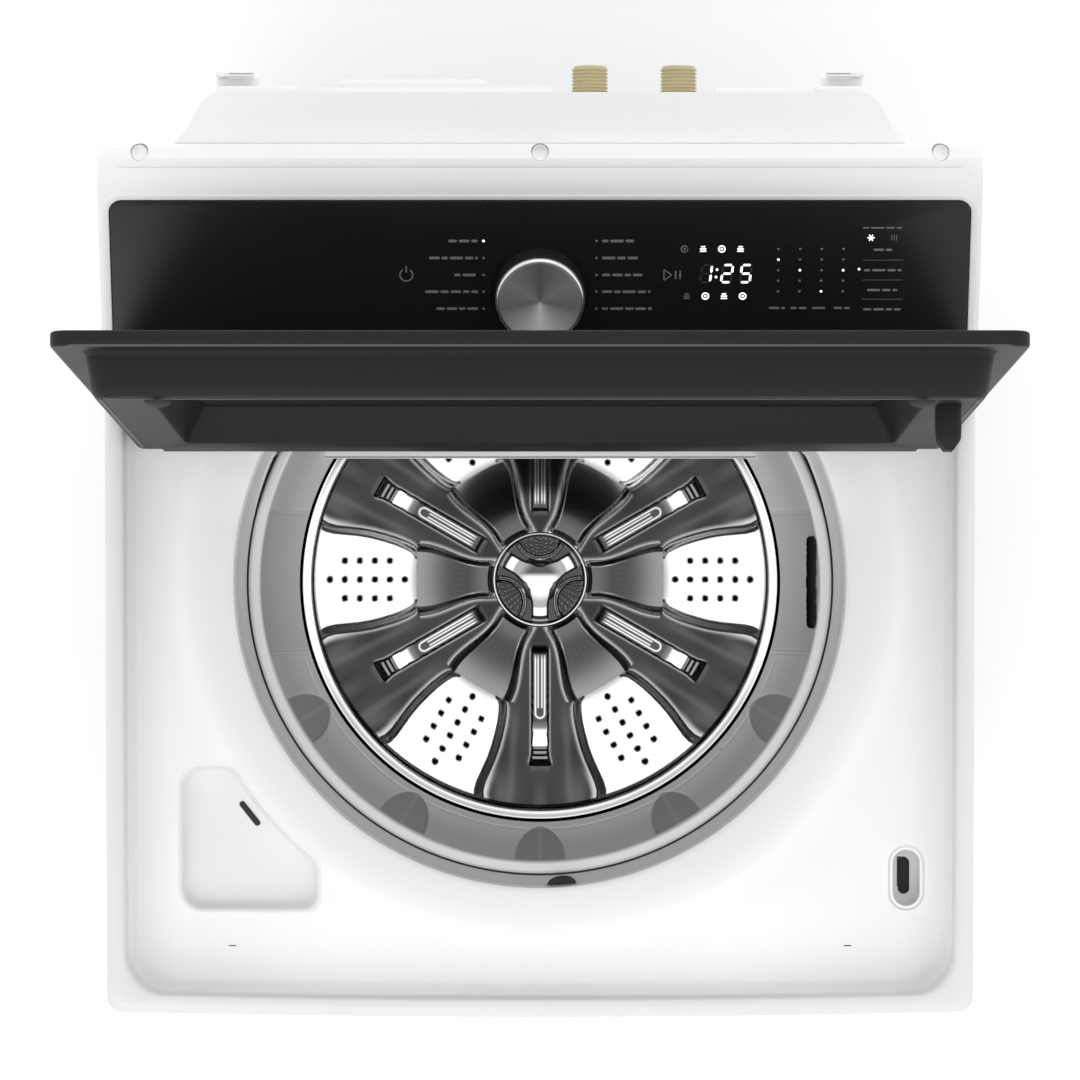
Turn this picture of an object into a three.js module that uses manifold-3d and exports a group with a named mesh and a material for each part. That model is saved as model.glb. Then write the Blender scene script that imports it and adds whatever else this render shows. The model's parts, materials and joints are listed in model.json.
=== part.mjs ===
// A top load washing machine with its lid open: cabinet, console, lid, drawer, sprung tub, basket,
// pulsator, direct drive motor and levelling feet. Millimetres, +Z up, the front faces -Y.
import * as THREE from "three";
import { mergeVertices } from "three/addons/utils/BufferGeometryUtils.js";
import Module from "manifold-3d";

const wasm = await Module();
wasm.setup();

// Driving dimensions. Depths are measured from the drum's axis, which lies DRUM_SHIFT behind the middle.
const HALF_WIDTH = 316;
const FRONT = -317;
const REAR = 315;
const FRONT_BOW = 4;
const DRUM_SHIFT = -28;
const FIT = 0.3;
const DECK_SLOPE = THREE.MathUtils.degToRad(3);
const DECK_FRONT_Z = 942;
const DECK_SKIRT_Z = 905;
const TRAY_DEPTH = 34;
const FUNNEL_DROP = 8;
const DECK_WALL = 3;
const MOUTH_RADIUS = 224.6;
const MOUTH_CHORD = 100;
const CONSOLE_FRONT = 141.8;
const CONSOLE_BASE_Z = 966;
const CONSOLE_TOP_Z = 1020;
const FASCIA_TILT = THREE.MathUtils.degToRad(21.5);
const FASCIA_HALF_WIDTH = 308;
const FASCIA_LENGTH = 138;
const KNOB_RADIUS = 32.2;
const KNOB_HEIGHT = 24.5;
const KNOB_UP_SLOPE = 70;
const LID_LENGTH = 420;
const LID_RIM = 10.5;
const LID_BULGE = 30.5;
const WINDOW_DEPTH = 25;
const HINGE_Y = 115;
const HINGE_Z = 956;
const HINGE_TO_RIM = 10.6;
const LID_OPENS = THREE.MathUtils.degToRad(97);
const STRIKER_X = 269;
const STRIKER_FROM_HINGE = 335;
const TUB_RADIUS = 269;
const TUB_BOTTOM_Z = 440;
const BASKET_RADIUS = 238;
const BASKET_BOTTOM_Z = 496;
const PULSATOR_RADIUS = 183;
const PULSATOR_Z = 542;
const SUSPENSION_OFFSET = 262;
const LUG_Z = 450;
const FOOT_OFFSET_X = 278;
const FOOT_OFFSET_Y = 276;
const BASE_Z = 30;
const CABINET_Z = 45;
const INLET_Z = 975;
const INLETS_X = [36, 100];
const REAR_CORNER = 9;
const RING_SIDES = 48;
const HIDDEN_SIDES = 36;

const WHITE = { color: 0xf2f3f3, roughness: 0.3, metalness: 0 };
const SHEET_WHITE = { color: 0xeeefef, roughness: 0.35, metalness: 0.1 };
const CHARCOAL = { color: 0x2c2d2f, roughness: 0.4, metalness: 0 };
const BLACK_GLASS = { color: 0x121214, roughness: 0.08, metalness: 0 };
const BLACK = { color: 0x17181a, roughness: 0.5, metalness: 0 };
const GREY = { color: 0xa5a6a6, roughness: 0.4, metalness: 0 };
const LIGHT_GREY = { color: 0xcfd0d0, roughness: 0.4, metalness: 0 };
const STAINLESS = { color: 0xc4c7ca, roughness: 0.18, metalness: 1 };
const CHROME = { color: 0xe2e4e6, roughness: 0.06, metalness: 1 };
const STEEL = { color: 0x8d9195, roughness: 0.35, metalness: 1 };
const GALVANISED = { color: 0xb3b8bb, roughness: 0.45, metalness: 1 };
const RUBBER = { color: 0x222325, roughness: 0.85, metalness: 0 };
const BRASS_BEIGE = { color: 0xbeb28c, roughness: 0.45, metalness: 0.2 };
const BOARD_GREEN = { color: 0x1f5b3a, roughness: 0.5, metalness: 0 };
const COPPER = { color: 0x9c5a34, roughness: 0.4, metalness: 1 };

// --- solids -------------------------------------------------------------------------------------

function toSolid(geometry) {
  const bare = new THREE.BufferGeometry();
  const source = geometry.index ? geometry.toNonIndexed() : geometry;
  bare.setAttribute("position", source.getAttribute("position").clone());
  const merged = mergeVertices(bare, 1e-3);
  const triVerts = withoutSlivers(merged.index.array);
  const vertProperties = merged.attributes.position.array;
  const solid = new wasm.Manifold(new wasm.Mesh({ numProp: 3, vertProperties, triVerts }));
  if (solid.volume() > 0) return solid;
  const turned = triVerts.slice();
  for (let i = 0; i < turned.length; i += 3) {
    turned[i] = triVerts[i + 1];
    turned[i + 1] = triVerts[i];
  }
  return new wasm.Manifold(new wasm.Mesh({ numProp: 3, vertProperties, triVerts: turned }));
}

// Triangles whose corners merged are left out.
function withoutSlivers(index) {
  const kept = [];
  for (let i = 0; i < index.length; i += 3) {
    const [a, b, c] = [index[i], index[i + 1], index[i + 2]];
    if (a !== b && b !== c && c !== a) kept.push(a, b, c);
  }
  return new Uint32Array(kept);
}

function toGeometry(solid) {
  const mesh = solid.getMesh();
  const positions = new Float32Array(mesh.numVert * 3);
  for (let i = 0; i < mesh.numVert; i += 1) {
    for (let axis = 0; axis < 3; axis += 1) {
      positions[3 * i + axis] = mesh.vertProperties[mesh.numProp * i + axis];
    }
  }
  const geometry = new THREE.BufferGeometry();
  geometry.setAttribute("position", new THREE.BufferAttribute(positions, 3));
  geometry.setIndex(new THREE.BufferAttribute(new Uint32Array(mesh.triVerts), 1));
  const flat = geometry.toNonIndexed();
  flat.computeVertexNormals();
  return flat;
}

function join(first, ...others) {
  return toGeometry(others.reduce((solid, other) => solid.add(toSolid(other)), toSolid(first)));
}

function cut(first, ...tools) {
  return toGeometry(tools.reduce((solid, tool) => solid.subtract(toSolid(tool)), toSolid(first)));
}

function common(first, second) {
  return toGeometry(toSolid(first).intersect(toSolid(second)));
}

function block(x0, x1, y0, y1, z0, z1) {
  const geometry = new THREE.BoxGeometry(x1 - x0, y1 - y0, z1 - z0);
  return geometry.translate((x0 + x1) / 2, (y0 + y1) / 2, (z0 + z1) / 2);
}

// A closed outline of [radius, height] points turned about the Z axis.
function turned(outline, sides = RING_SIDES) {
  const points = outline.map(([radius, height]) => new THREE.Vector2(radius, height));
  const onAxis = outline[0][0] === 0 && outline[outline.length - 1][0] === 0;
  if (!onAxis) points.push(points[0].clone());
  return toGeometry(toSolid(new THREE.LatheGeometry(points, sides).rotateX(Math.PI / 2)));
}

function disc(radius, z0, z1, sides = 24) {
  return turned([[0, z0], [radius, z0], [radius, z1], [0, z1]], sides);
}

function tube(inner, outer, z0, z1, sides = 24) {
  return turned([[inner, z0], [outer, z0], [outer, z1], [inner, z1]], sides);
}

function alongX(geometry) {
  return geometry.rotateY(Math.PI / 2);
}

function alongY(geometry) {
  return geometry.rotateX(-Math.PI / 2);
}

function prism(shape, z0, z1, curveSegments = 6) {
  const options = { depth: z1 - z0, bevelEnabled: false, curveSegments };
  return new THREE.ExtrudeGeometry(shape, options).translate(0, 0, z0);
}

// A section of [y, z] points drawn along X.
function sectionAlongX(points, x0, x1) {
  const shape = new THREE.Shape(points.map(([y, z]) => new THREE.Vector2(y, z)));
  const turn = new THREE.Matrix4().makeBasis(
    new THREE.Vector3(0, 1, 0),
    new THREE.Vector3(0, 0, 1),
    new THREE.Vector3(1, 0, 0),
  );
  return prism(shape, x0, x1).applyMatrix4(turn);
}

function roundedRectangle(x0, x1, y0, y1, radius) {
  const shape = new THREE.Shape();
  shape.moveTo(x0 + radius, y0);
  shape.absarc(x1 - radius, y0 + radius, radius, -Math.PI / 2, 0);
  shape.absarc(x1 - radius, y1 - radius, radius, 0, Math.PI / 2);
  shape.absarc(x0 + radius, y1 - radius, radius, Math.PI / 2, Math.PI);
  shape.absarc(x0 + radius, y0 + radius, radius, Math.PI, 1.5 * Math.PI);
  return shape;
}

// --- loops round the drum's axis -----------------------------------------------------------------

function shoulderZ(y) {
  return DECK_FRONT_Z + (Math.min(y, CONSOLE_FRONT) - FRONT) * Math.tan(DECK_SLOPE);
}

function below(depth) {
  return (x, y) => shoulderZ(y) - depth;
}

// The tray dips towards the drum, and hardly at the straight rear edge.
function mouthEdge(depth) {
  const drop = (y) => FUNNEL_DROP * (1 - 0.8 * THREE.MathUtils.smoothstep(y, 40, 95));
  return (x, y) => shoulderZ(y) - TRAY_DEPTH - drop(y) - depth;
}

function level(z) {
  return () => z;
}

function insideRim(rim, x, y) {
  const front = rim.front + FRONT_BOW * (x / HALF_WIDTH) ** 2;
  const middle = (front + rim.rear) / 2;
  const halfDepth = (rim.rear - front) / 2;
  const radius = y > middle ? Math.min(rim.radius, REAR_CORNER) : rim.radius;
  const past = Math.max(Math.abs(x) - rim.half + radius, 0);
  const beyond = Math.max(Math.abs(y - middle) - halfDepth + radius, 0);
  return Math.hypot(past, beyond) < radius;
}

// The distance from the axis to a rounded rectangle along a ray, found by halving.
function rimLoop(inset, rear, radius, height) {
  const rim = { half: HALF_WIDTH - inset, front: FRONT + inset, rear, radius };
  const reach = (angle) => {
    let near = 0;
    let far = 600;
    for (let step = 0; step < 40; step += 1) {
      const middle = (near + far) / 2;
      const inside = insideRim(rim, middle * Math.cos(angle), middle * Math.sin(angle));
      if (inside) near = middle;
      else far = middle;
    }
    return near;
  };
  return { reach, height };
}

// A circle about the axis, cut straight across at the rear.
function mouthLoop(radius, chord, height) {
  const reach = (angle) => (Math.sin(angle) > 0 ? Math.min(radius, chord / Math.sin(angle)) : radius);
  return { reach, height };
}

function loopAngles(sides, corners) {
  const angles = [];
  for (let i = 0; i < sides; i += 1) angles.push((2 * Math.PI * i) / sides);
  corners.forEach((corner) => {
    [-1.6, 0, 1.6].forEach((turn) => angles.push(THREE.MathUtils.degToRad(corner + turn)));
  });
  return angles.sort((a, b) => a - b).filter((angle, i, all) => i === 0 || angle - all[i - 1] > 0.002);
}

// A ring-shaped shell through a closed series of loops.
function shellThrough(loops, angles) {
  const positions = [];
  const point = (loop, angle) => {
    const distance = loop.reach(angle);
    const x = distance * Math.cos(angle);
    const y = distance * Math.sin(angle);
    return [x, y, loop.height(x, y)];
  };
  const rows = loops.map((loop) => angles.map((angle) => point(loop, angle)));
  rows.forEach((row, i) => {
    const next = rows[(i + 1) % rows.length];
    row.forEach((corner, j) => {
      const k = (j + 1) % row.length;
      positions.push(...corner, ...row[k], ...next[k], ...corner, ...next[k], ...next[j]);
    });
  });
  const geometry = new THREE.BufferGeometry();
  geometry.setAttribute("position", new THREE.Float32BufferAttribute(positions, 3));
  return toGeometry(toSolid(geometry));
}

// --- bodies and meshes ---------------------------------------------------------------------------

const machine = new THREE.Group();
machine.name = "washing_machine";
machine.position.y = DRUM_SHIFT;

function add(parent, name, geometry, look) {
  const mesh = new THREE.Mesh(geometry, new THREE.MeshStandardMaterial(look));
  mesh.name = name;
  parent.add(mesh);
  return mesh;
}

function slopeGroup() {
  const group = new THREE.Group();
  group.position.set(0, 145, CONSOLE_BASE_Z);
  group.rotation.x = FASCIA_TILT;
  machine.add(group);
  return group;
}

function onSlope(geometry) {
  return geometry.rotateX(FASCIA_TILT).translate(0, 145, CONSOLE_BASE_Z);
}

const CORNERS = [[-1, -1, "front_left"], [1, -1, "front_right"], [-1, 1, "rear_left"], [1, 1, "rear_right"]];

// --- cabinet -------------------------------------------------------------------------------------

function cabinetShell() {
  const outer = { half: 314, front: -312, rear: 311.4, wall: 1.5, flange: 285, radius: 9 };
  const walls = prism(roundedRectangle(-outer.half, outer.half, outer.front, outer.rear, outer.radius),
    CABINET_Z, DECK_SKIRT_Z - FIT, 3);
  const hollow = prism(roundedRectangle(-outer.half + outer.wall, outer.half - outer.wall,
    outer.front + outer.wall, outer.rear - outer.wall, outer.radius - outer.wall), 0, 1000, 3);
  const back = block(-outer.flange, outer.flange, 300, 320, 0, 1000);
  const brackets = CORNERS.map(([sideX, sideY]) => cornerBracket(sideX, sideY, outer));
  return join(cut(walls, hollow, back), ...brackets);
}

// A folded triangular plate in an upper corner, with the hole that a suspension rod hangs in.
function cornerBracket(sideX, sideY, outer) {
  const x = sideX * (outer.half - 1);
  const y = sideY > 0 ? outer.rear - 1 : outer.front + 1;
  const reach = 95;
  const shape = new THREE.Shape();
  shape.moveTo(x, y);
  shape.lineTo(x - sideX * reach, y);
  shape.lineTo(x - sideX * reach, y - sideY * 30);
  shape.lineTo(x - sideX * 30, y - sideY * reach);
  shape.lineTo(x, y - sideY * reach);
  const hole = disc(6, 840, 880, 12).translate(sideX * SUSPENSION_OFFSET, sideY * SUSPENSION_OFFSET, 0);
  const plate = cut(prism(shape, 852, 856), hole);
  const plan = roundedRectangle(-outer.half + 0.7, outer.half - 0.7, outer.front + 0.7, outer.rear - 0.7, 8);
  return common(plate, prism(plan, 850, 860, 4));
}

function rearPanel() {
  const sheet = block(-313, 313, 311.7, 313.2, CABINET_Z, DECK_SKIRT_Z - FIT);
  const ribs = [-200, 0, 200].map((x) => block(x - 60, x + 60, 312.5, 315.5, 330, 820));
  const drainHole = alongY(disc(14, 300, 330, 16)).translate(-225, 0, 100);
  return cut(join(sheet, ...ribs), drainHole);
}

function baseFrame() {
  const outline = roundedRectangle(-313, 313, -311, 312, 9);
  const centre = new THREE.Path();
  const inner = 272;
  const corner = 70;
  const places = [
    [-inner, -inner + corner], [-inner, inner - corner], [-inner + corner, inner], [inner - corner, inner],
    [inner, inner - corner], [inner, -inner + corner], [inner - corner, -inner], [-inner + corner, -inner],
  ];
  centre.setFromPoints(places.map(([x, y]) => new THREE.Vector2(x, y)));
  outline.holes.push(centre);
  const holes = CORNERS.map(([sideX, sideY]) =>
    disc(6.6, 0, 80, 12).translate(sideX * FOOT_OFFSET_X, sideY * FOOT_OFFSET_Y, 0));
  return cut(prism(outline, BASE_Z, CABINET_Z - FIT, 2), ...holes);
}

function topCover() {
  const floor = TRAY_DEPTH;
  const lower = TRAY_DEPTH + DECK_WALL;
  const loops = [
    rimLoop(0, REAR, 10, level(DECK_SKIRT_Z)),
    rimLoop(0, REAR, 10, below(8)),
    rimLoop(2.5, REAR - 2.5, 10, below(2)),
    rimLoop(8, REAR - 8, 16, below(0)),
    rimLoop(12, 141.4, 26, below(3)),
    rimLoop(16, 140.5, 32, below(15)),
    rimLoop(18, 139, 35, below(floor - 3)),
    rimLoop(22, 134, 35, below(floor)),
    mouthLoop(262, 122, below(floor)),
    mouthLoop(MOUTH_RADIUS, MOUTH_CHORD, mouthEdge(0)),
    mouthLoop(MOUTH_RADIUS, MOUTH_CHORD, mouthEdge(DECK_WALL)),
    mouthLoop(262, 122, below(lower)),
    rimLoop(15, 142, 32, below(lower)),
    rimLoop(13, 143.5, 30, below(16)),
    rimLoop(9, 145, 22, below(6)),
    rimLoop(5, REAR - 4, 12, below(5)),
    rimLoop(3, REAR - 3, 8, below(9)),
    rimLoop(3, REAR - 3, 8, level(DECK_SKIRT_Z)),
  ];
  const shell = shellThrough(loops, loopAngles(RING_SIDES, [44.9, 135.1, 224.6, 315.4, 24.8, 155.2]));
  const cup = toSolid(bleachPocket(3, 17.2, 4)).intersect(toSolid(underDeck()));
  const withCup = toGeometry(toSolid(shell).add(cup));
  return cut(withCup, bleachPocket(0, 14, -40), bleachSlot(), lockOpening(0.3));
}

// The space below the tray floor, which the recess's cup may fill.
function underDeck() {
  const at = (y) => shoulderZ(y) - TRAY_DEPTH - 1;
  return sectionAlongX([[-290, 870], [0, 870], [0, at(0)], [-290, at(-290)]], -300, 0);
}

// The triangular recess for bleach: straight sides, a curved side round the drum and rounded corners.
function bleachPocket(grow, depth, raise) {
  const shape = new THREE.Shape();
  const left = -261.5 - grow;
  const right = -165 + grow;
  const front = -238 - grow;
  const back = -136 + grow;
  const arc = 264 - grow;
  const corner = 14;
  shape.moveTo(left + corner, front);
  shape.lineTo(right, front);
  shape.absarc(0, 0, arc, 2 * Math.PI - Math.acos(right / arc), Math.PI - Math.asin(back / arc), true);
  shape.absarc(left + corner, back - corner, corner, Math.PI / 2, Math.PI);
  shape.absarc(left + corner, front + corner, corner, Math.PI, 1.5 * Math.PI);
  const base = shoulderZ(-200) - TRAY_DEPTH;
  return prism(shape, base - depth, base - raise, 5);
}

function bleachSlot() {
  const angle = Math.atan2(-168.8, -211.8);
  return block(-2, 2, -11, 11, 860, 960).rotateZ(angle).translate(-211.8, -168.8, 0);
}

function ovalPrism(halfX, halfY, x, y, z0, z1) {
  return prism(roundedRectangle(x - halfX, x + halfX, y - halfY, y + halfY, halfX - 0.01), z0, z1, 5);
}

function lockOpening(grow) {
  return ovalPrism(12 + grow, 22.7 + grow, STRIKER_X, -217, 800, 960);
}

function throatRing() {
  const top = mouthEdge(DECK_WALL + FIT);
  const bottom = (x, y) => (y > 80 ? 893 : 880);
  const loops = [
    mouthLoop(229, MOUTH_CHORD + 4, top),
    mouthLoop(MOUTH_RADIUS, MOUTH_CHORD, top),
    mouthLoop(217.4, MOUTH_CHORD - 3, bottom),
    mouthLoop(220.6, MOUTH_CHORD, bottom),
  ];
  const halfMoon = alongY(disc(11, -240, -200, 16)).translate(16, 0, 882);
  const drawerWay = block(-112, 112, 90, 110, 896, 921);
  return cut(shellThrough(loops, loopAngles(RING_SIDES, [26, 154])), halfMoon, drawerWay);
}

function consoleSection(inset) {
  const tilt = Math.tan(FASCIA_TILT);
  const slopeEnd = 276;
  const top = CONSOLE_TOP_Z - inset;
  const slopeZ = (y) => CONSOLE_BASE_Z + (y - 145) * tilt - inset;
  return [
    [CONSOLE_FRONT + inset, CONSOLE_BASE_Z + FIT - (inset > 0 ? 20 : 0)],
    [REAR - inset, CONSOLE_BASE_Z + FIT - (inset > 0 ? 20 : 0)],
    [REAR - inset, top - 14],
    [REAR - 4 - inset, top - 4],
    [REAR - 12 - inset, top],
    [slopeEnd + 8 - inset * 0.3, top],
    [slopeEnd, slopeZ(slopeEnd)],
    [150 + inset, slopeZ(150 + inset)],
    [CONSOLE_FRONT + inset, slopeZ(148 + inset)],
  ];
}

function consoleHousing() {
  const body = sectionAlongX(consoleSection(0), -HALF_WIDTH, HALF_WIDTH);
  const plan = prism(roundedRectangle(-HALF_WIDTH, HALF_WIDTH, 100, REAR, 10), 900, 1100);
  const hollow = sectionAlongX(consoleSection(6.5), -HALF_WIDTH + 4, HALF_WIDTH - 4);
  const seat = onSlope(prism(fasciaShape(FIT), -3 - FIT, 20));
  const shaftHole = onSlope(disc(6, -30, 30, 16).translate(0, KNOB_UP_SLOPE, 0));
  const capSeats = screwCapPlaces().map((x) => disc(6.4, 1005, 1030, 16).translate(x, 308.6, 0));
  return cut(common(body, plan), hollow, seat, shaftHole, ...capSeats);
}

function screwCapPlaces() {
  return [-286, 0, 286];
}

function fasciaShape(grow) {
  return roundedRectangle(-FASCIA_HALF_WIDTH - grow, FASCIA_HALF_WIDTH + grow, 10 - grow,
    FASCIA_LENGTH + grow, 9.5);
}

function controlFascia() {
  const glass = prism(fasciaShape(0), -3, 0);
  const well = disc(35.5, -1.4, 5, 32).translate(0, KNOB_UP_SLOPE, 0);
  const shaftHole = disc(6, -10, 5, 16).translate(0, KNOB_UP_SLOPE, 0);
  return cut(glass, well, shaftHole);
}

function knobEncoder() {
  const can = block(-9, 9, -9, 9, -22, -7.2);
  const shaft = disc(3, -8, 14, 12);
  return join(can, shaft).translate(0, KNOB_UP_SLOPE, 0);
}

function controlBoard() {
  const board = block(14, 240, 40, 120, -13, -11.4);
  const driver = block(30, 60, 50, 80, -12, -9);
  const display = block(100, 170, 70, 95, -12, -8);
  return join(board, driver, display);
}

function rearCover() {
  const outline = (grow) => {
    const places = [
      [-262 + grow, 300], [-262 + grow, 316], [-254 + grow, 325], [-243 + grow, 345 - grow],
      [-235 + grow, 352 - grow], [235 - grow, 352 - grow], [243 - grow, 345 - grow], [254 - grow, 325],
      [262 - grow, 316], [262 - grow, 300],
    ];
    return new THREE.Shape(places.map(([x, y]) => new THREE.Vector2(x, y)));
  };
  const ahead = block(-300, 300, 290, REAR + FIT + 0.2, 900, 1050);
  const cover = cut(prism(outline(0), 935, 1003), prism(outline(2.5), 937.5, 1000.5), ahead);
  const plates = [
    block(-159, 9, 351, 358, 945, 998), block(-143, -39, 357, 362, 950, 992),
    block(-226, -172, 351, 355.5, 945, 965), block(126, 196, 351, 355.5, 945, 998),
  ];
  const ways = INLETS_X.map((x) => alongY(disc(14, 340, 365, 20)).translate(x, 0, INLET_Z));
  return cut(join(cover, ...plates), ...ways);
}

function inletValve() {
  const outline = [[0, 330], [13, 330], [13, 353]];
  for (let y = 355; y < 370; y += 6) outline.push([13.2, y], [12, y + 2], [12, y + 4]);
  outline.push([12.6, 373], [9.5, 373], [9.5, 345], [0, 345]);
  return alongY(turned(outline, 14));
}

function inletBody() {
  return block(-12, 12, 318, 331, -14, 14);
}

// A hook for the drain hose: an arm out of the cover with an upturned end.
function hoseHook() {
  const arm = block(-16, 16, 352.3, 368, -4, 0);
  const end = block(-16, 16, 364.5, 368, -1, 14);
  return join(arm, end);
}

function lidLock() {
  const top = shoulderZ(-217) - TRAY_DEPTH - 1;
  const cup = ovalPrism(12, 22.7, STRIKER_X, -217, 882, top);
  const hollow = ovalPrism(10, 20.75, STRIKER_X, -217, 885.2, top + 5);
  const bolt = block(STRIKER_X - 5, STRIKER_X + 1, -225, -203, 872, 890);
  const body = block(STRIKER_X - 19, STRIKER_X + 19, -262, -187, 868.5, 882.5);
  return cut(join(cup, body), hollow, bolt);
}

function bleachFunnel() {
  const angle = Math.atan2(-168.8, -211.8);
  const outer = block(-9, 9, -18, 18, 876, 896);
  const inner = block(-7, 7, -16, 16, 870, 900);
  return cut(outer, inner).rotateZ(angle).translate(-211.8, -168.8, 0);
}

function dispenserHousing() {
  const outer = block(-115, 115, MOUTH_CHORD + 5, 246, 894, 924.6);
  return cut(outer, block(-112, 112, 90, 243, 896.5, 922));
}

function detergentDrawer() {
  const front = block(-111, 111, MOUTH_CHORD - 4, MOUTH_CHORD - 0.5, 897, 920.4);
  const tray = block(-108, 108, MOUTH_CHORD - 1, 236, 897.5, 918);
  const liquid = block(-105, -30, MOUTH_CHORD + 2, 233, 900, 930);
  const softener = block(-27, 105, MOUTH_CHORD + 2, 233, 900, 930);
  return cut(join(front, tray), liquid, softener);
}

function hingeBlock() {
  const shape = new THREE.Shape();
  const foot = shoulderZ(HINGE_Y + 9) - TRAY_DEPTH + FIT - HINGE_Z;
  shape.moveTo(-9, foot);
  shape.lineTo(9, foot);
  shape.lineTo(9, 0);
  shape.absarc(0, 0, 9, 0, Math.PI);
  const eye = new THREE.Path().absarc(0, 0, 4.6, 0, 2 * Math.PI);
  shape.holes.push(eye);
  const turn = new THREE.Matrix4().makeBasis(
    new THREE.Vector3(0, 1, 0),
    new THREE.Vector3(0, 0, 1),
    new THREE.Vector3(1, 0, 0),
  );
  return prism(shape, -7.5, 7.5, 8).applyMatrix4(turn);
}

function drainPump() {
  const motor = disc(30, CABINET_Z, 112, 20).translate(-225, 215, 0);
  const head = disc(38, 70, 96, 20).translate(-225, 215, 0);
  const spout = alongY(disc(11, 240, 340, 16)).translate(-225, 0, 86);
  return join(motor, head, spout.translate(0, 0, 14));
}

function suspensionRod() {
  const outline = [
    [0, 330], [17, 330], [17, 335.7], [4, 335.7], [4, 856.3], [12, 856.3], [12, 860], [6, 866], [0, 866],
  ];
  return turned(outline, 12);
}

function buildCabinet() {
  add(machine, "cabinet_shell", cabinetShell(), SHEET_WHITE);
  add(machine, "rear_panel", rearPanel(), GALVANISED);
  add(machine, "base_frame", baseFrame(), GALVANISED);
  add(machine, "top_cover", topCover(), WHITE);
  add(machine, "throat_ring", throatRing(), GREY);
  add(machine, "console_housing", consoleHousing(), WHITE);
  add(machine, "rear_cover", rearCover(), WHITE);
  add(machine, "bleach_funnel", bleachFunnel(), LIGHT_GREY);
  add(machine, "dispenser_housing", dispenserHousing(), LIGHT_GREY);
  add(machine, "lid_lock", lidLock(), GREY);
  add(machine, "drain_pump", drainPump(), BLACK);
  screwCapPlaces().forEach((x, i) => {
    const cap = disc(6, 1006, 1018.6, 16).translate(x, 308.6, 0);
    add(machine, "screw_cap_" + ["left", "middle", "right"][i], cap, WHITE);
  });
  INLETS_X.forEach((x, i) => {
    const valve = join(inletValve(), inletBody()).translate(x, 0, INLET_Z);
    add(machine, "inlet_valve_" + ["cold", "hot"][i], valve, BRASS_BEIGE);
  });
  [-1, 1].forEach((side) => {
    const name = side < 0 ? "left" : "right";
    add(machine, "hose_hook_" + name, hoseHook().translate(side * 218, 0, 975), WHITE);
    add(machine, "hinge_block_" + name, hingeBlock().translate(side * 281.5, HINGE_Y, HINGE_Z), CHARCOAL);
  });
  CORNERS.forEach(([sideX, sideY, name]) => {
    const x = sideX * SUSPENSION_OFFSET;
    const y = sideY * SUSPENSION_OFFSET;
    add(machine, "suspension_rod_" + name, suspensionRod().translate(x, y, 0), STEEL);
  });
}

function buildConsole() {
  const slope = slopeGroup();
  add(slope, "control_fascia", controlFascia(), BLACK_GLASS);
  add(slope, "control_board", controlBoard(), BOARD_GREEN);
  add(slope, "knob_encoder", knobEncoder(), STEEL);
  const knob = new THREE.Group();
  knob.position.set(0, KNOB_UP_SLOPE, 0);
  slope.add(knob);
  const bore = disc(3.6, -5, 16, 16);
  const side = KNOB_RADIUS - 1.2;
  const outline = [[0, -0.9], [side, -0.9], [KNOB_RADIUS, 2], [KNOB_RADIUS, KNOB_HEIGHT - 4],
    [0, KNOB_HEIGHT - 4]];
  add(knob, "knob_body", cut(turned(outline, 40), bore), BLACK);
  const cap = [[0, KNOB_HEIGHT - 4 + FIT], [KNOB_RADIUS, KNOB_HEIGHT - 4 + FIT],
    [KNOB_RADIUS - 0.4, KNOB_HEIGHT - 1.6], [KNOB_RADIUS - 2.6, KNOB_HEIGHT], [0, KNOB_HEIGHT]];
  add(knob, "knob_cap", turned(cap, 40), STEEL);
}

function buildFeet() {
  const outline = [[0, 0], [19, 0], [20, 3], [20, 9], [14, 12], [6, 12], [6, 62], [0, 62]];
  CORNERS.forEach(([sideX, sideY, name]) => {
    const foot = turned(outline, 12).translate(sideX * FOOT_OFFSET_X, sideY * FOOT_OFFSET_Y, 0);
    add(machine, "foot_" + name, foot, RUBBER);
  });
}

// --- lid, drawn closed with the hinge's axis as its origin and Z out of its top -------------------

function lidFrame() {
  const rim = lidRim();
  const face = HINGE_TO_RIM - LID_BULGE;
  const section = [[8, HINGE_TO_RIM + 1], [8, face + 4], [4, face], [-386, face], [-396, HINGE_TO_RIM + 1]];
  const bulge = common(sectionAlongX(section, -296, 296), bulgeSides(face));
  const corners = [-1, 1].map((side) => {
    const inner = side * 297;
    const outer = side * 330;
    return block(Math.min(inner, outer), Math.max(inner, outer), -12.5, 30, 0, 40);
  });
  const notches = [-1, 1].map((side) => {
    const inner = side * 272.5;
    const outer = side * 300;
    return block(Math.min(inner, outer), Math.max(inner, outer), -22, 20, face - 5, HINGE_TO_RIM - 0.01);
  });
  const windowSeat = prism(roundedRectangle(-246, 246, -380, -58, 10), face + WINDOW_DEPTH, 30, 4);
  const glassSeat = prism(roundedRectangle(-292, 292, -406, -8, 14), HINGE_TO_RIM + LID_RIM - 4, 40, 4);
  const pinBores = [-1, 1].map((side) => hingeBore(4.3, side, 242, 300));
  const pegHole = block(STRIKER_X - 5, STRIKER_X + 5, -345, -325, face - 5, face + 12);
  const seats = [windowRecess(face), windowSeat, glassSeat];
  return cut(join(rim, bulge), ...corners, ...notches, ...seats, ...pinBores, pegHole);
}

// The recess narrows towards the pane.
function windowRecess(face) {
  const mouth = prism(roundedRectangle(-252, 252, -376, -65, 9), face - 1, face, 4);
  const floorZ = face + WINDOW_DEPTH;
  const floor = prism(roundedRectangle(-239, 239, -370, -68, 9), floorZ - 1, floorZ + 1, 4);
  return toGeometry(toSolid(mouth).add(toSolid(floor)).hull());
}

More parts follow.
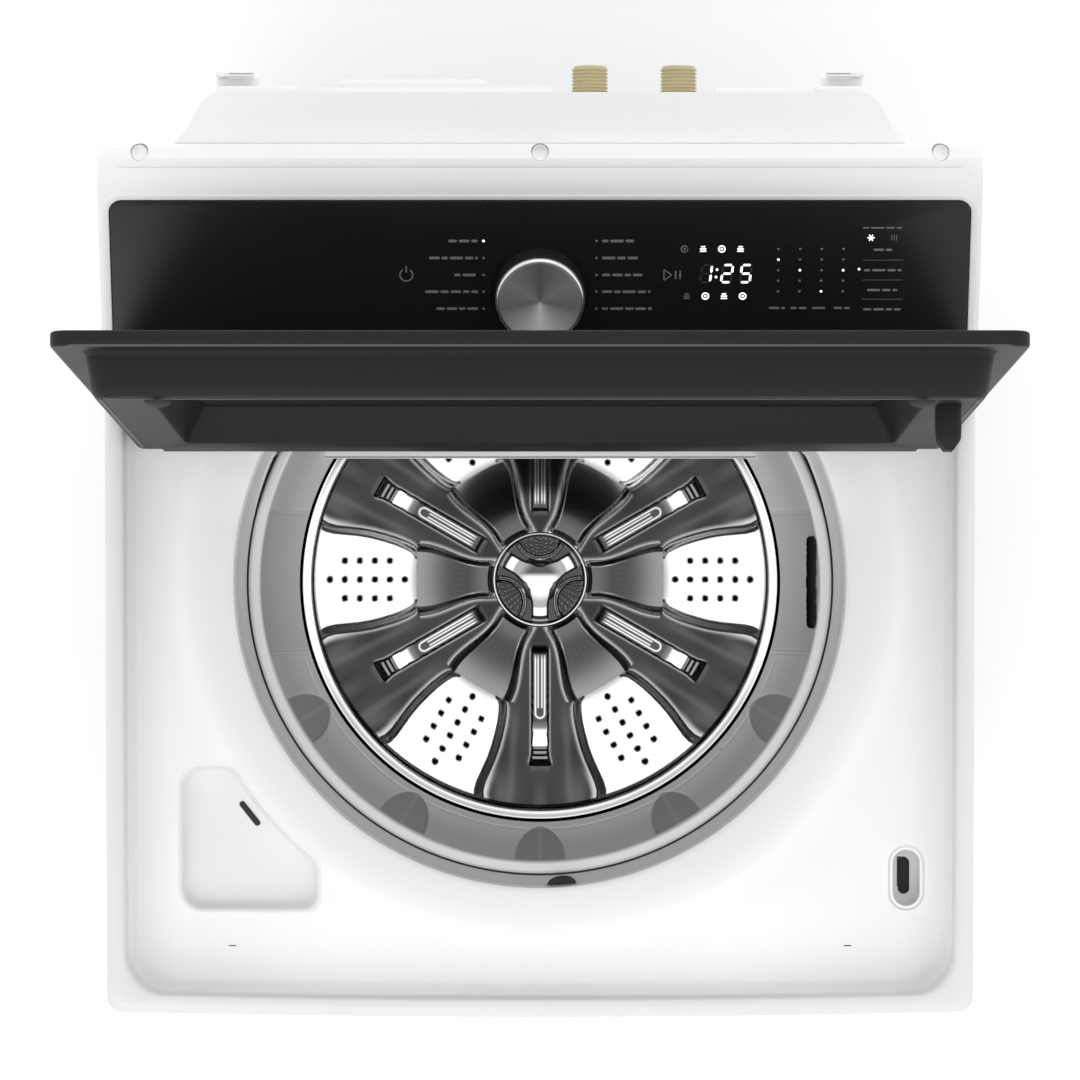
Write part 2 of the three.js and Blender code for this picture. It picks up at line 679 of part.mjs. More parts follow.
function hingeBore(radius, side, near, far) {
  return alongX(disc(radius, near, far, 16).translate(0, 0, side < 0 ? -near - far : 0));
}

function lidRim() {
  const rear = 11;
  const plate = roundedRectangle(-HALF_WIDTH, HALF_WIDTH, -LID_LENGTH, rear, 12);
  const thickness = LID_RIM;
  const bevel = 1.8;
  const half = HALF_WIDTH - bevel;
  const inner = roundedRectangle(-half, half, -LID_LENGTH + bevel, rear - bevel, 11);
  const slab = prism(plate, HINGE_TO_RIM + bevel, HINGE_TO_RIM + thickness - bevel, 4);
  return join(slab, prism(inner, HINGE_TO_RIM, HINGE_TO_RIM + thickness, 4));
}

function bulgeSides(face) {
  const shape = new THREE.Shape();
  const half = [[297, 20], [296, HINGE_TO_RIM], [290, face]];
  const mirrored = half.map(([x, z]) => [-x, z]);
  const places = [...mirrored, ...half.toReversed()];
  places.forEach(([x, z], i) => (i === 0 ? shape.moveTo(x, z) : shape.lineTo(x, z)));
  const turn = new THREE.Matrix4().makeBasis(
    new THREE.Vector3(1, 0, 0),
    new THREE.Vector3(0, 0, 1),
    new THREE.Vector3(0, -1, 0),
  );
  return prism(shape, -50, 450).applyMatrix4(turn);
}

function lidStriker() {
  const face = HINGE_TO_RIM - LID_BULGE;
  const peg = prism(roundedRectangle(-8, 8, -15, 15, 5), face - 29.5, face - FIT, 4);
  const stem = block(-4.6, 4.6, -9.6, 9.6, face - 1, face + 11.5);
  return join(peg, stem).translate(STRIKER_X, -STRIKER_FROM_HINGE, 0);
}

function buildLid() {
  const lid = new THREE.Group();
  lid.position.set(0, HINGE_Y, HINGE_Z);
  lid.rotation.x = DECK_SLOPE - LID_OPENS;
  machine.add(lid);
  const face = HINGE_TO_RIM - LID_BULGE;
  const top = HINGE_TO_RIM + LID_RIM;
  add(lid, "lid_frame", lidFrame(), CHARCOAL);
  const glass = prism(roundedRectangle(-291.7, 291.7, -405.7, -8.3, 13.7), top - 3.7, top, 4);
  add(lid, "lid_glass", glass, BLACK_GLASS);
  const seat = face + WINDOW_DEPTH + FIT;
  const pane = prism(roundedRectangle(-245.7, 245.7, -379.7, -58.3, 9.7), seat, seat + 3.9, 4);
  add(lid, "lid_window", pane, BLACK_GLASS);
  add(lid, "lid_striker", lidStriker(), CHARCOAL);
  [-1, 1].forEach((side) => {
    const name = side < 0 ? "left" : "right";
    const bumper = disc(8.7, face - 4.8, face - FIT, 20).translate(side * 248.7, -377, 0);
    add(lid, "lid_bumper_" + name, bumper, RUBBER);
    add(lid, "hinge_pin_" + name, hingeBore(4, side, 243, 288), STEEL);
  });
}

// --- tub, basket, pulsator and motor ---------------------------------------------------------------

function outerTub() {
  const bottom = TUB_BOTTOM_Z;
  const outline = [
    [22, bottom], [TUB_RADIUS - 12, bottom], [TUB_RADIUS, bottom + 12], [TUB_RADIUS, 855],
    [TUB_RADIUS - 4, 855], [TUB_RADIUS - 4, bottom + 16], [TUB_RADIUS - 14, bottom + 6], [22, bottom + 6],
  ];
  const lugs = CORNERS.map(([sideX, sideY]) => {
    const angle = Math.atan2(sideY, sideX);
    const hole = disc(9, 400, 500, 12).translate(SUSPENSION_OFFSET * Math.SQRT2, 0, 0);
    return cut(block(TUB_RADIUS - 3, 388, -20, 20, LUG_Z, LUG_Z + 16), hole).rotateZ(angle);
  });
  return join(turned(outline, HIDDEN_SIDES), ...lugs);
}

function tubCover() {
  const outline = [
    [183.5, 827.5], [206.5, 871.5], [209.5, 874.5], [212.6, 873], [213, 866], [266, 858], [270, 857],
    [270, 848], [274.5, 848], [274.5, 861], [220, 869], [216.2, 871], [216, 882], [207, 882],
    [206.8, 879.5], [180.5, 830], [180.5, 828],
  ];
  const shelf = new THREE.Shape();
  const radius = 187.8;
  const start = Math.asin(92.3 / radius);
  shelf.absarc(0, 0, radius, start, Math.PI - start);
  const jet = block(198.5, 205.5, -34.5, 34.5, 862, 878.6);
  return cut(join(turned(outline), prism(shelf, 838, 842, 16)), jet);
}

function balanceRing() {
  return turned([
    [172, 768], [176, 762], [232, 762], [235, 766], [235, 806], [231, 812], [178, 812], [172, 806],
  ]);
}

function basketDrum() {
  const outer = BASKET_RADIUS;
  return turned([
    [outer - 2.4, 500], [outer, 500], [outer, 808], [outer + 2, 812], [outer - 1, 813.5], [outer - 2.4, 811],
  ]);
}

function basketBase() {
  const inner = BASKET_RADIUS - 4;
  return turned([
    [13.5, BASKET_BOTTOM_Z], [60, BASKET_BOTTOM_Z], [90, 502], [inner, 502], [inner, 556], [inner - 4, 556],
    [188, 522], [90, 510], [13.5, 510],
  ], HIDDEN_SIDES);
}

// Six arms spread towards the rim with flat valleys between them, round a raised hub.
function pulsatorHeight(radius, angle) {
  const turn = ((angle / (Math.PI / 3)) % 1 + 1) % 1;
  const fromValley = Math.min(turn, 1 - turn) * (Math.PI / 3) * radius;
  const valleyHalf = THREE.MathUtils.mapLinear(radius, 60, PULSATOR_RADIUS, 8, 37);
  const arm = THREE.MathUtils.smoothstep(fromValley, valleyHalf - 4, valleyHalf + 10);
  const armHeight = THREE.MathUtils.mapLinear(radius, 40, PULSATOR_RADIUS, 14, 9);
  const hub = 13.7 * (1 - THREE.MathUtils.smoothstep(radius, 40, 96));
  return PULSATOR_Z + Math.max(arm * armHeight, hub);
}

function pulsator() {
  const radii = [42, 60, 80, 110, 145, PULSATOR_RADIUS];
  const bottom = 528;
  const sides = 60;
  const positions = [];
  const at = (radius, angle, z) => [radius * Math.cos(angle), radius * Math.sin(angle), z];
  const top = (radius, angle) => at(radius, angle, pulsatorHeight(radius, angle));
  for (let i = 0; i < sides; i += 1) {
    const a = (2 * Math.PI * i) / sides;
    const b = (2 * Math.PI * ((i + 1) % sides)) / sides;
    const crown = PULSATOR_Z + 13.7;
    positions.push(0, 0, crown, ...at(radii[0], a, crown), ...at(radii[0], b, crown));
    radii.slice(1).forEach((outer, k) => {
      const inner = radii[k];
      const nearA = k === 0 ? at(inner, a, crown) : top(inner, a);
      const nearB = k === 0 ? at(inner, b, crown) : top(inner, b);
      positions.push(...nearA, ...top(outer, a), ...top(outer, b), ...nearA, ...top(outer, b), ...nearB);
    });
    const rimA = top(PULSATOR_RADIUS, a);
    const rimB = top(PULSATOR_RADIUS, b);
    const footA = at(PULSATOR_RADIUS, a, bottom);
    const footB = at(PULSATOR_RADIUS, b, bottom);
    positions.push(...rimA, ...footA, ...footB, ...rimA, ...footB, ...rimB);
    positions.push(0, 0, bottom, ...footB, ...footA);
  }
  const geometry = new THREE.BufferGeometry();
  geometry.setAttribute("position", new THREE.Float32BufferAttribute(positions, 3));
  return toGeometry(toSolid(geometry));
}

function hubCap() {
  const base = PULSATOR_Z + 13.7 + FIT;
  const outline = [[0, base], [38.5, base], [38.5, base + 4], [35, base + 8], [30, base + 8], [27, base + 4],
    [0, base + 4]];
  const arms = [0, 1, 2].map((i) => {
    const arm = block(0, 31, -6, 6, base + 3, base + 10);
    return arm.rotateZ(THREE.MathUtils.degToRad(30 + 120 * i));
  });
  return join(turned(outline, 32), disc(15, base + 3, base + 11, 24), ...arms);
}

function bearingHousing() {
  const top = TUB_BOTTOM_Z - FIT;
  return turned([
    [20, 345], [55, 345], [55, 400], [110, top - 14], [110, top], [20, top],
  ], 24);
}

function motorStator() {
  const ring = tube(56, 104, 335, 366, 24);
  const teeth = [];
  for (let i = 0; i < 12; i += 1) {
    teeth.push(block(100, 128, -9, 9, 337, 364).rotateZ((Math.PI * i) / 6));
  }
  return join(ring, ...teeth);
}

function buildTub() {
  add(machine, "outer_tub", outerTub(), LIGHT_GREY);
  add(machine, "tub_cover", tubCover(), GREY);
  add(machine, "bearing_housing", bearingHousing(), STEEL);
  add(machine, "motor_stator", motorStator(), COPPER);
  CORNERS.forEach(([sideX, sideY, name]) => {
    const spring = tube(9, 15, 336, LUG_Z - FIT, 12);
    spring.translate(sideX * SUSPENSION_OFFSET, sideY * SUSPENSION_OFFSET, 0);
    add(machine, "suspension_spring_" + name, spring, STEEL);
  });
}

function buildBasket() {
  add(machine, "basket_drum", basketDrum(), STAINLESS);
  add(machine, "basket_base", basketBase(), STAINLESS);
  add(machine, "balance_ring", balanceRing(), LIGHT_GREY);
  add(machine, "spin_shaft", tube(12.5, 19, 372, BASKET_BOTTOM_Z - FIT, 16), STEEL);
}

function buildPulsator() {
  add(machine, "pulsator", pulsator(), STAINLESS);
  add(machine, "hub_cap", hubCap(), CHROME);
  add(machine, "wash_shaft", disc(11.5, 300, 527.7), STEEL);
  const rotor = [
    [12, 316], [142, 316], [142, 370], [134, 370], [134, 321], [12, 321],
  ];
  add(machine, "motor_rotor", turned(rotor, HIDDEN_SIDES), STEEL);
}

buildCabinet();
buildConsole();
buildFeet();
buildLid();
add(machine, "detergent_drawer", detergentDrawer(), WHITE);
buildTub();
buildBasket();
buildPulsator();

const group = new THREE.Group();
group.add(machine);

export default group;
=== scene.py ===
"""The looks of a top load washing machine. Sizes are millimetres. Depths are measured from the drum's axis,
which lies 28 mm in front of the machine's middle."""
import json
from math import acos, asin, atan2, copysign, cos, exp, hypot, pi, radians, sin, sqrt, tan
import bmesh
import bpy
from mathutils import Matrix, Vector


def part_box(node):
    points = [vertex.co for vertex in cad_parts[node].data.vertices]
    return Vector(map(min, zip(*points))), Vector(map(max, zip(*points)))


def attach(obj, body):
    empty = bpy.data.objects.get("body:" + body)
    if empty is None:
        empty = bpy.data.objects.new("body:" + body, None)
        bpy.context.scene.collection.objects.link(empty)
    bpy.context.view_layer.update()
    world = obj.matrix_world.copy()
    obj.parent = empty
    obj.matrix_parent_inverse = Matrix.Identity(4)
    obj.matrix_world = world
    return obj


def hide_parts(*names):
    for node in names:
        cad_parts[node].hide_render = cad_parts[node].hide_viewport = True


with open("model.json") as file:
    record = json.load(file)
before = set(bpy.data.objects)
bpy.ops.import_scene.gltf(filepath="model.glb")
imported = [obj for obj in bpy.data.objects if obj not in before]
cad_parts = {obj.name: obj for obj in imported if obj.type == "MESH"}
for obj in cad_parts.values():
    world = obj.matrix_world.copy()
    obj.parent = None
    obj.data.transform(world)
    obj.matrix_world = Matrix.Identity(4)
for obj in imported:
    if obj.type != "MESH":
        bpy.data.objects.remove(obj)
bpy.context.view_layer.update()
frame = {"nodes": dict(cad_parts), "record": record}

MM = 0.001
SHIFT = -28.0
HALF = 316.0
FRONT = -317.0
CONSOLE_FRONT = 141.8
TRAY = 34.0
MOUTH = 224.6
CHORD = 100.0
TILT = radians(21.5)
LID_TURN = radians(-94)
LOCK = (269, -217)
COVER_INNER = 181
COVER_WIDTH = 25.8
COVER_LIP = 206.8
SCREW_PLACES = (("left", -286), ("middle", 0), ("right", 286))
SCREW_Y = 307.2
KNOB_UP = 70
PRINT_LOW = 0.02
PRINT_HIGH = 0.08
INLET_Z = 975
RIM_LOW = 905
RING_LOW = 880
RING_HIGH = 893
PULSATOR_FLOOR = 542
HUB_FLOOR = 559.5
FACE = -19.9
PANE = 5.1
TAU = 2 * pi
scene = bpy.context.scene


# --- materials ------------------------------------------------------------------------------------

def node_in(made, kind, values=(), feeds=()):
    """A new shader node with some of its sockets set and others fed."""
    node = made.node_tree.nodes.new("ShaderNode" + kind)
    for socket, value in dict(values).items():
        node.inputs[socket].default_value = value
    for socket, output in dict(feeds).items():
        made.node_tree.links.new(output, node.inputs[socket])
    return node


def multiplied(made, first, second, share):
    """The second colour laid over the first by multiplying, as the base colour."""
    mix = made.node_tree.nodes.new("ShaderNodeMix")
    mix.data_type = "RGBA"
    mix.blend_type = "MULTIPLY"
    mix.inputs["Factor"].default_value = share
    links = made.node_tree.links
    links.new(first, mix.inputs["A"])
    links.new(second, mix.inputs["B"])
    links.new(mix.outputs["Result"], made.node_tree.nodes["Principled BSDF"].inputs["Base Color"])


def material(name, colour, roughness, metallic=0.0, grain=900.0, depth=0.02, mottle=0.03, spread=0.06,
             stretch=(1, 1, 1), coat=0.0, specular=0.5, toned=False):
    """A shader with fine grain in its bump, and slow changes in its colour and roughness."""
    made = bpy.data.materials.new(name)
    made.use_nodes = True
    links = made.node_tree.links
    shader = made.node_tree.nodes["Principled BSDF"]
    place = node_in(made, "TexCoord").outputs["Object"]
    mapping = node_in(made, "Mapping", {"Scale": stretch}, {"Vector": place})
    fine = node_in(made, "TexNoise", {"Scale": grain, "Detail": 3}, {"Vector": mapping.outputs["Vector"]})
    bump = node_in(made, "Bump", {"Strength": depth, "Distance": 0.0006}, {"Height": fine.outputs["Fac"]})
    links.new(bump.outputs["Normal"], shader.inputs["Normal"])
    slow = node_in(made, "TexNoise", {"Scale": 9, "Detail": 4}, {"Vector": place}).outputs["Fac"]
    rough = node_in(made, "MapRange", {"To Min": max(roughness - spread, 0.02), "To Max": roughness + spread},
                    {"Value": slow})
    links.new(rough.outputs["Result"], shader.inputs["Roughness"])
    ramp = node_in(made, "ValToRGB", (), {"Fac": slow})
    low, high = ramp.color_ramp.elements
    low.position, high.position = 0.3, 0.7
    low.color = (*[c * (1 - mottle) for c in colour], 1)
    high.color = (*[min(c * (1 + mottle), 1) for c in colour], 1)
    if toned:
        tone = node_in(made, "Attribute")
        tone.attribute_name = "tone"
        multiplied(made, ramp.outputs["Color"], tone.outputs["Color"], 1)
    else:
        links.new(ramp.outputs["Color"], shader.inputs["Base Color"])
    shader.inputs["Metallic"].default_value = metallic
    shader.inputs["Coat Weight"].default_value = coat
    shader.inputs["Specular IOR Level"].default_value = specular
    return made


def glow(name, colour, strength):
    """A lamp or a lit segment behind the glass, a little uneven over its face."""
    made = material(name, [c * 0.6 for c in colour], 0.4, grain=2500, mottle=0.02)
    shader = made.node_tree.nodes["Principled BSDF"]
    shader.inputs["Emission Color"].default_value = (*colour, 1)
    shader.inputs["Emission Strength"].default_value = strength
    return made


def turned_metal():
    """Brushed in circles: fine rings, and a broad fan of painted highlight fixed to the disc, brightest at
    the front and darkest at the back.
    """
    made = material("brushed_metal", (0.2, 0.2, 0.205), 0.34, 0.3, grain=400, depth=0.02)
    place = node_in(made, "TexCoord").outputs["Object"]
    rings = node_in(made, "TexWave", {"Scale": 900, "Distortion": 0.4}, {"Vector": place})
    rings.wave_type = "RINGS"
    rings.rings_direction = "Z"
    turn = node_in(made, "Mapping", {"Rotation": (0, 0, radians(-90))}, {"Vector": place})
    # A radial gradient paints the brushed highlight: bright at the front, dark at the back.
    fan = node_in(made, "TexGradient", (), {"Vector": turn.outputs["Vector"]})
    fan.gradient_type = "RADIAL"
    ramp = node_in(made, "ValToRGB", (), {"Fac": fan.outputs["Fac"]})
    for element in ramp.color_ramp.elements:
        element.color = (1, 1, 1, 1)
    for position, tone in ((0.1, 0.62), (0.22, 0.25), (0.34, 0.34), (0.5, 0.17), (0.66, 0.34), (0.78, 0.25),
                           (0.9, 0.62)):
        ramp.color_ramp.elements.new(position).color = (tone, tone, tone * 1.02, 1)
    multiplied(made, ramp.outputs["Color"], rings.outputs["Color"], 0.12)
    return made


LOOKS = {}


def add_look(name, *values, **options):
    LOOKS[name] = material(name, *values, **options)


add_look("white_plastic", (0.86, 0.865, 0.87), 0.32, grain=1400, depth=0.03, mottle=0.008)
add_look("white_steel", (0.66, 0.664, 0.67), 0.34, grain=500, depth=0.05, mottle=0.008, coat=0.2)
add_look("galvanised_steel", (0.46, 0.475, 0.49), 0.42, 0.9, grain=120, depth=0.05, spread=0.03)
add_look("grey_plastic", (1, 1, 1), 0.36, grain=1500, depth=0.05, toned=True)
add_look("tub_plastic", (0.55, 0.55, 0.545), 0.45, grain=1200, depth=0.06)
add_look("charcoal_plastic", (0.0135, 0.0136, 0.0142), 0.5, grain=2200, depth=0.1, mottle=0.06, specular=0.17)
add_look("black_glass", (0.008, 0.008, 0.0095), 0.28, grain=60, depth=0.004, specular=0.35)
add_look("black_plastic", (0.012, 0.012, 0.013), 0.4, grain=1800, depth=0.08, mottle=0.08)
add_look("stainless_steel", (0.84, 0.845, 0.85), 0.24, 1.0, grain=500, depth=0.03, stretch=(1, 1, 0.02))
add_look("metallic_plastic", (1, 1, 1), 0.15, 1.0, grain=240, mottle=0.1, toned=True)
add_look("chrome", (0.75, 0.755, 0.765), 0.1, 1.0, grain=200, depth=0.01)
add_look("machined_steel", (0.42, 0.43, 0.44), 0.32, 1.0, grain=350, depth=0.08, stretch=(1, 1, 0.1))
add_look("cast_aluminium", (0.5, 0.505, 0.51), 0.5, 0.9, grain=500, depth=0.3, mottle=0.08)
add_look("copper_winding", (0.42, 0.16, 0.07), 0.35, 0.8, grain=300, depth=0.4, mottle=0.15)
add_look("circuit_board", (0.03, 0.13, 0.06), 0.4, grain=250, depth=0.2, mottle=0.2)
add_look("rubber", (0.02, 0.02, 0.021), 0.75, grain=1500, depth=0.25, mottle=0.1)
add_look("beige_plastic", (0.52, 0.45, 0.27), 0.45, grain=1500, depth=0.08, mottle=0.05)
LOOKS["brushed_metal"] = turned_metal()
PEARL = material("pearl_valleys", (1, 1, 1), 0.14, 1.0, grain=700, depth=0.01, mottle=0.01, spread=0.02,
                 toned=True)
DECK = material("deck_plastic", (0.88, 0.885, 0.89), 0.32, grain=1400, depth=0.03, mottle=0.008, toned=True)
PRINT = material("fascia_print", (0.19, 0.19, 0.195), 0.5, grain=2500, depth=0.01)
UNLIT = material("unlit_segments", (0.035, 0.035, 0.037), 0.4, grain=2500, depth=0.01)
SHADE = material("recess_shade", (0.008, 0.008, 0.009), 0.6, grain=1500)
# A lighter charcoal that paints highlight lines on the lid's rounded edges.
LID_HIGHLIGHT = material("lid_edge_highlight", (0.055, 0.055, 0.056), 0.45, grain=2200, depth=0.1)
LIT = glow("lit_segments", (0.95, 0.97, 1.0), 1.6)


# --- making meshes --------------------------------------------------------------------------------

def on_machine(x, y, z):
    return Vector((x * MM, (y + SHIFT) * MM, z * MM))


def on_slope(x, up, out=0.0):
    """A place on the console's sloping face: up the slope, and out of it."""
    return on_machine(x, 145 + up * cos(TILT) - out * sin(TILT),
                      966 + up * sin(TILT) + out * cos(TILT))


def on_lid(x, along, out):
    """A place on the lid: along it from the hinge, and out through its glass."""
    cosine, sine = cos(LID_TURN), sin(LID_TURN)
    return on_machine(x, 115 - along * cosine - out * sine, 956 - along * sine + out * cosine)


def finish_mesh(mesh, angle):
    """Joins doubled points, turns the normals out, and keeps edges over an angle sharp."""
    work = bmesh.new()
    work.from_mesh(mesh)
    bmesh.ops.remove_doubles(work, verts=work.verts, dist=2e-6)
    bmesh.ops.recalc_face_normals(work, faces=work.faces)
    work.to_mesh(mesh)
    work.free()
    mesh.polygons.foreach_set("use_smooth", [True] * len(mesh.polygons))
    mesh.set_sharp_from_angle(angle=radians(angle))


def make(name, points, faces, look, body, replaces=(), angle=35, place=on_machine, tone=None, slot=None):
    """A piece from points and faces. tone gives each point's tone, which on many pieces holds painted light
    and shade.
    """
    mesh = bpy.data.meshes.new(name)
    mesh.from_pydata([place(*point) for point in points], [], faces)
    if tone is not None:
        shade = mesh.color_attributes.new("tone", "FLOAT_COLOR", "POINT")
        for i, point in enumerate(points):
            value = tone(*point)
            colour = value if isinstance(value, tuple) else (value, value, value)
            shade.data[i].color = (*colour, 1)
    finish_mesh(mesh, angle)
    piece = bpy.data.objects.new(name, mesh)
    scene.collection.objects.link(piece)
    return dress(piece, look, body, replaces)


def dress(piece, look, body, replaces=()):
    """Gives a piece its look and body, and hides the nodes it stands for."""
    piece.data.materials.clear()
    piece.data.materials.append(LOOKS[look] if isinstance(look, str) else look)
    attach(piece, body)
    if replaces:
        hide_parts(*replaces)
    return piece


def lofted(rows, closed=False, capped=False):
    """Faces between rows of points that each go once round."""
    count = len(rows[0])
    points = [point for row in rows for point in row]
    faces = []
    last = len(rows) if closed else len(rows) - 1
    for i in range(last):
        k = (i + 1) % len(rows)
        for j in range(count):
            n = (j + 1) % count
            faces.append((i * count + j, i * count + n, k * count + n, k * count + j))
    if capped:
        faces.append(tuple(range(count))[::-1])
        faces.append(tuple(range((len(rows) - 1) * count, len(rows) * count)))
    return points, faces


def rounded(points, radius, steps=5, closed=False):
    """A polyline whose corners are rounded. radius is a number or one for each point."""
    count = len(points)
    result = []
    for i, corner in enumerate(points):
        size = radius[i] if isinstance(radius, (list, tuple)) else radius
        if size <= 0 or (not closed and i in (0, count - 1)):
            result.append(tuple(corner))
            continue
        here = Vector(corner)
        before = Vector(points[i - 1]) - here
        after = Vector(points[(i + 1) % count]) - here
        reach = min(size, before.length * 0.45, after.length * 0.45)
        start = here + before.normalized() * reach
        end = here + after.normalized() * reach
        for step in range(steps + 1):
            t = step / steps
            result.append(tuple(start * (1 - t) ** 2 + here * 2 * t * (1 - t) + end * t * t))
    return result


def circle(radius, sides, x=0, y=0):
    """A circle's outline, anticlockwise."""
    return [(x + radius * cos(TAU * k / sides), y + radius * sin(TAU * k / sides)) for k in range(sides)]


def level(outline, z):
    """A plan outline as a row of points at one height."""
    return [(x, y, z) for x, y in outline]


def prism(outline, low, high):
    return lofted([level(outline, low), level(outline, high)], capped=True)


def lathed(profile, sides, centre=(0, 0)):
    """A profile of radii and heights turned about an upright axis."""
    return lofted([level(circle(radius, sides, *centre), z) for radius, z in profile])


def carried(shape, move):
    """The same shape with each point moved to another place."""
    points, faces = shape
    return [move(*point) for point in points], faces


def turned(outline, angle, x=0, y=0):
    """An outline turned about the origin, then moved."""
    cosine, sine = cos(angle), sin(angle)
    return [(x + a * cosine - b * sine, y + a * sine + b * cosine) for a, b in outline]


def bell(distance, width):
    """1 at no distance, falling smoothly to nothing."""
    return exp(-(distance / width) ** 2)


def polar_rows(radii, sides, form):
    """Rows of points round the axis, and each point's shade. form gives the height and shade at a place."""
    rows, tones = [], {}
    for radius in radii:
        row = []
        for k in range(sides):
            angle = TAU * k / sides
            z, value = form(radius, angle)
            point = (radius * cos(angle), radius * sin(angle), z)
            tones[point] = value
            row.append(point)
        rows.append(row)
    return rows, tones


def box_outline(x0, x1, y0, y1, radius, steps=8):
    """A rounded rectangle's outline, anticlockwise."""
    places = []
    corners = [(x1 - radius, y0 + radius, -90), (x1 - radius, y1 - radius, 0),
               (x0 + radius, y1 - radius, 90), (x0 + radius, y0 + radius, 180)]
    for x, y, start in corners:
        for k in range(steps + 1):
            angle = radians(start + 90 * k / steps)
            places.append((x + radius * cos(angle), y + radius * sin(angle)))
    return places


def moved_in(outline, distance):
    """An outline with each point moved inwards by a distance."""
    count = len(outline)
    result = []
    for i, (x, y) in enumerate(outline):
        ax, ay = outline[i - 1]
        bx, by = outline[(i + 1) % count]
        dx, dy = bx - ax, by - ay
        length = hypot(dx, dy) or 1.0
        result.append((x - dy / length * distance, y + dx / length * distance))
    return result


def slab(outline, low, high, edge=1.0, steps=4):
    """A plate with a plan outline and rounded top and bottom edges."""
    rows = []
    turns = [pi / 2 * k / steps for k in range(steps + 1)]
    for turn in turns:
        rows.append(level(moved_in(outline, edge * (1 - sin(turn))), low + edge * (1 - cos(turn))))
    for turn in turns:
        rows.append(level(moved_in(outline, edge * (1 - cos(turn))), high - edge * (1 - sin(turn))))
    return lofted(rows, capped=True)


def joined(*parts):
    """Several sets of points and faces as one."""
    points, faces = [], []
    for more_points, more_faces in parts:
        start = len(points)
        points += more_points
        faces += [tuple(i + start for i in face) for face in more_faces]
    return points, faces


def baked(piece):
    """Applies a piece's modifiers."""
    view = bpy.context.evaluated_depsgraph_get()
    view.update()
    mesh = bpy.data.meshes.new_from_object(piece.evaluated_get(view))
    old = piece.data
    piece.modifiers.clear()
    piece.data = mesh
    bpy.data.meshes.remove(old)
    return piece


def loose(points, faces, place=on_machine):
    """A mesh object that only shapes another one."""
    mesh = bpy.data.meshes.new("cutter")
    mesh.from_pydata([place(*point) for point in points], [], faces)
    cutter = bpy.data.objects.new("cutter", mesh)
    scene.collection.objects.link(cutter)
    work = bmesh.new()
    work.from_mesh(mesh)
    bmesh.ops.recalc_face_normals(work, faces=work.faces)
    work.to_mesh(mesh)
    work.free()
    return cutter


def carved(piece, cutters, operation="DIFFERENCE"):
    for cutter in cutters:
        step = piece.modifiers.new("carve", "BOOLEAN")
        step.operation = operation
        step.solver = "EXACT"
        step.object = cutter
    baked(piece)
    for cutter in cutters:
        bpy.data.objects.remove(cutter)
    return piece


def recut(piece, cutters, look, body, angle=35):
    """Carves a finished piece, and gives it its normals and look again."""
    carved(piece, cutters)
    finish_mesh(piece.data, angle)
    return dress(piece, look, body)


def from_cad(node, look, body, cutters=(), bevel=0.0, segments=3, angle=30):
    """A copy of one of the part's nodes, with details carved and edges rounded, which stands for it."""
    source = frame["nodes"][node]
    piece = bpy.data.objects.new(node, source.data.copy())
    scene.collection.objects.link(piece)
    work = bmesh.new()
    work.from_mesh(piece.data)
    bmesh.ops.remove_doubles(work, verts=work.verts, dist=5e-6)
    bmesh.ops.dissolve_limit(work, angle_limit=radians(1), verts=work.verts, edges=work.edges)
    work.to_mesh(piece.data)
    work.free()
    if cutters:
        carved(piece, cutters)
    if bevel:
        rounding = piece.modifiers.new("edges", "BEVEL")
        rounding.width = bevel * MM
        rounding.segments = segments
        rounding.limit_method = "ANGLE"
        rounding.angle_limit = radians(angle)
        rounding.use_clamp_overlap = True
        baked(piece)
    piece.data.polygons.foreach_set("use_smooth", [True] * len(piece.data.polygons))
    piece.data.set_sharp_from_angle(angle=radians(35))
    return dress(piece, look, body, (node,))


def ease(value, low, high):
    """0 at low, 1 at high, and smooth between."""
    t = min(max((value - low) / (high - low), 0), 1)
    return t * t * (3 - 2 * t)


def blend(a, b, t):
    return a + (b - a) * t


# --- deck, tray and rings --------------------------------------------------------------------------

def shoulder(y):
    """The height of the top cover's shoulder, which rises towards the rear."""
    return 942 + (min(y, CONSOLE_FRONT) - FRONT) * tan(radians(3))


def mouth_drop(y):
    return 8 * (1 - 0.8 * ease(y, 40, 95))


def rim_reach(inset, rear, radius, angle):
    """The distance along a ray to a rounded rectangle with a bowed front."""
    half, cosine, sine = HALF - inset, cos(angle), sin(angle)
    near, far = 100.0, 520.0
    for _ in range(30):
        middle = (near + far) / 2
        x, y = middle * cosine, middle * sine
        front = FRONT + inset + 4 * (x / HALF) ** 2
        centre, depth = (front + rear) / 2, (rear - front) / 2
        corner = min(radius, 9) if y > centre else radius
        past = max(abs(x) - half + corner, 0)
        beyond = max(abs(y - centre) - depth + corner, 0)
        if hypot(past, beyond) < corner:
            near = middle
        else:
            far = middle
    return near


def mouth_reach(radius, chord, angle, softness=60):
    """A circle cut straight at the rear, with softened corners."""
    if sin(angle) <= 0.05:
        return radius
    straight = chord / sin(angle)
    return (radius ** -softness + straight ** -softness) ** (-1 / softness)


def tray_floor(x, y):
    """The tray's floor, which dips towards the mouth."""
    angle = atan2(y, x)
    outer, inner = mouth_reach(262, 122, angle), mouth_reach(MOUTH, CHORD, angle)
    t = min(max((outer - hypot(x, y)) / (outer - inner), 0), 1)
    return shoulder(y) - TRAY - mouth_drop(y) * t ** 1.6


ANGLES = [TAU * k / 900 for k in range(900)]


def rim_row(inset, rear, radius, depth=None, z=None):
    """A row round the top cover's rim, at a depth below its shoulder or at one height."""
    row = []
    for angle in ANGLES:
        reach = rim_reach(inset, rear, radius, angle)
        x, y = reach * cos(angle), reach * sin(angle)
        row.append((x, y, shoulder(y) - depth if z is None else z))
    return row


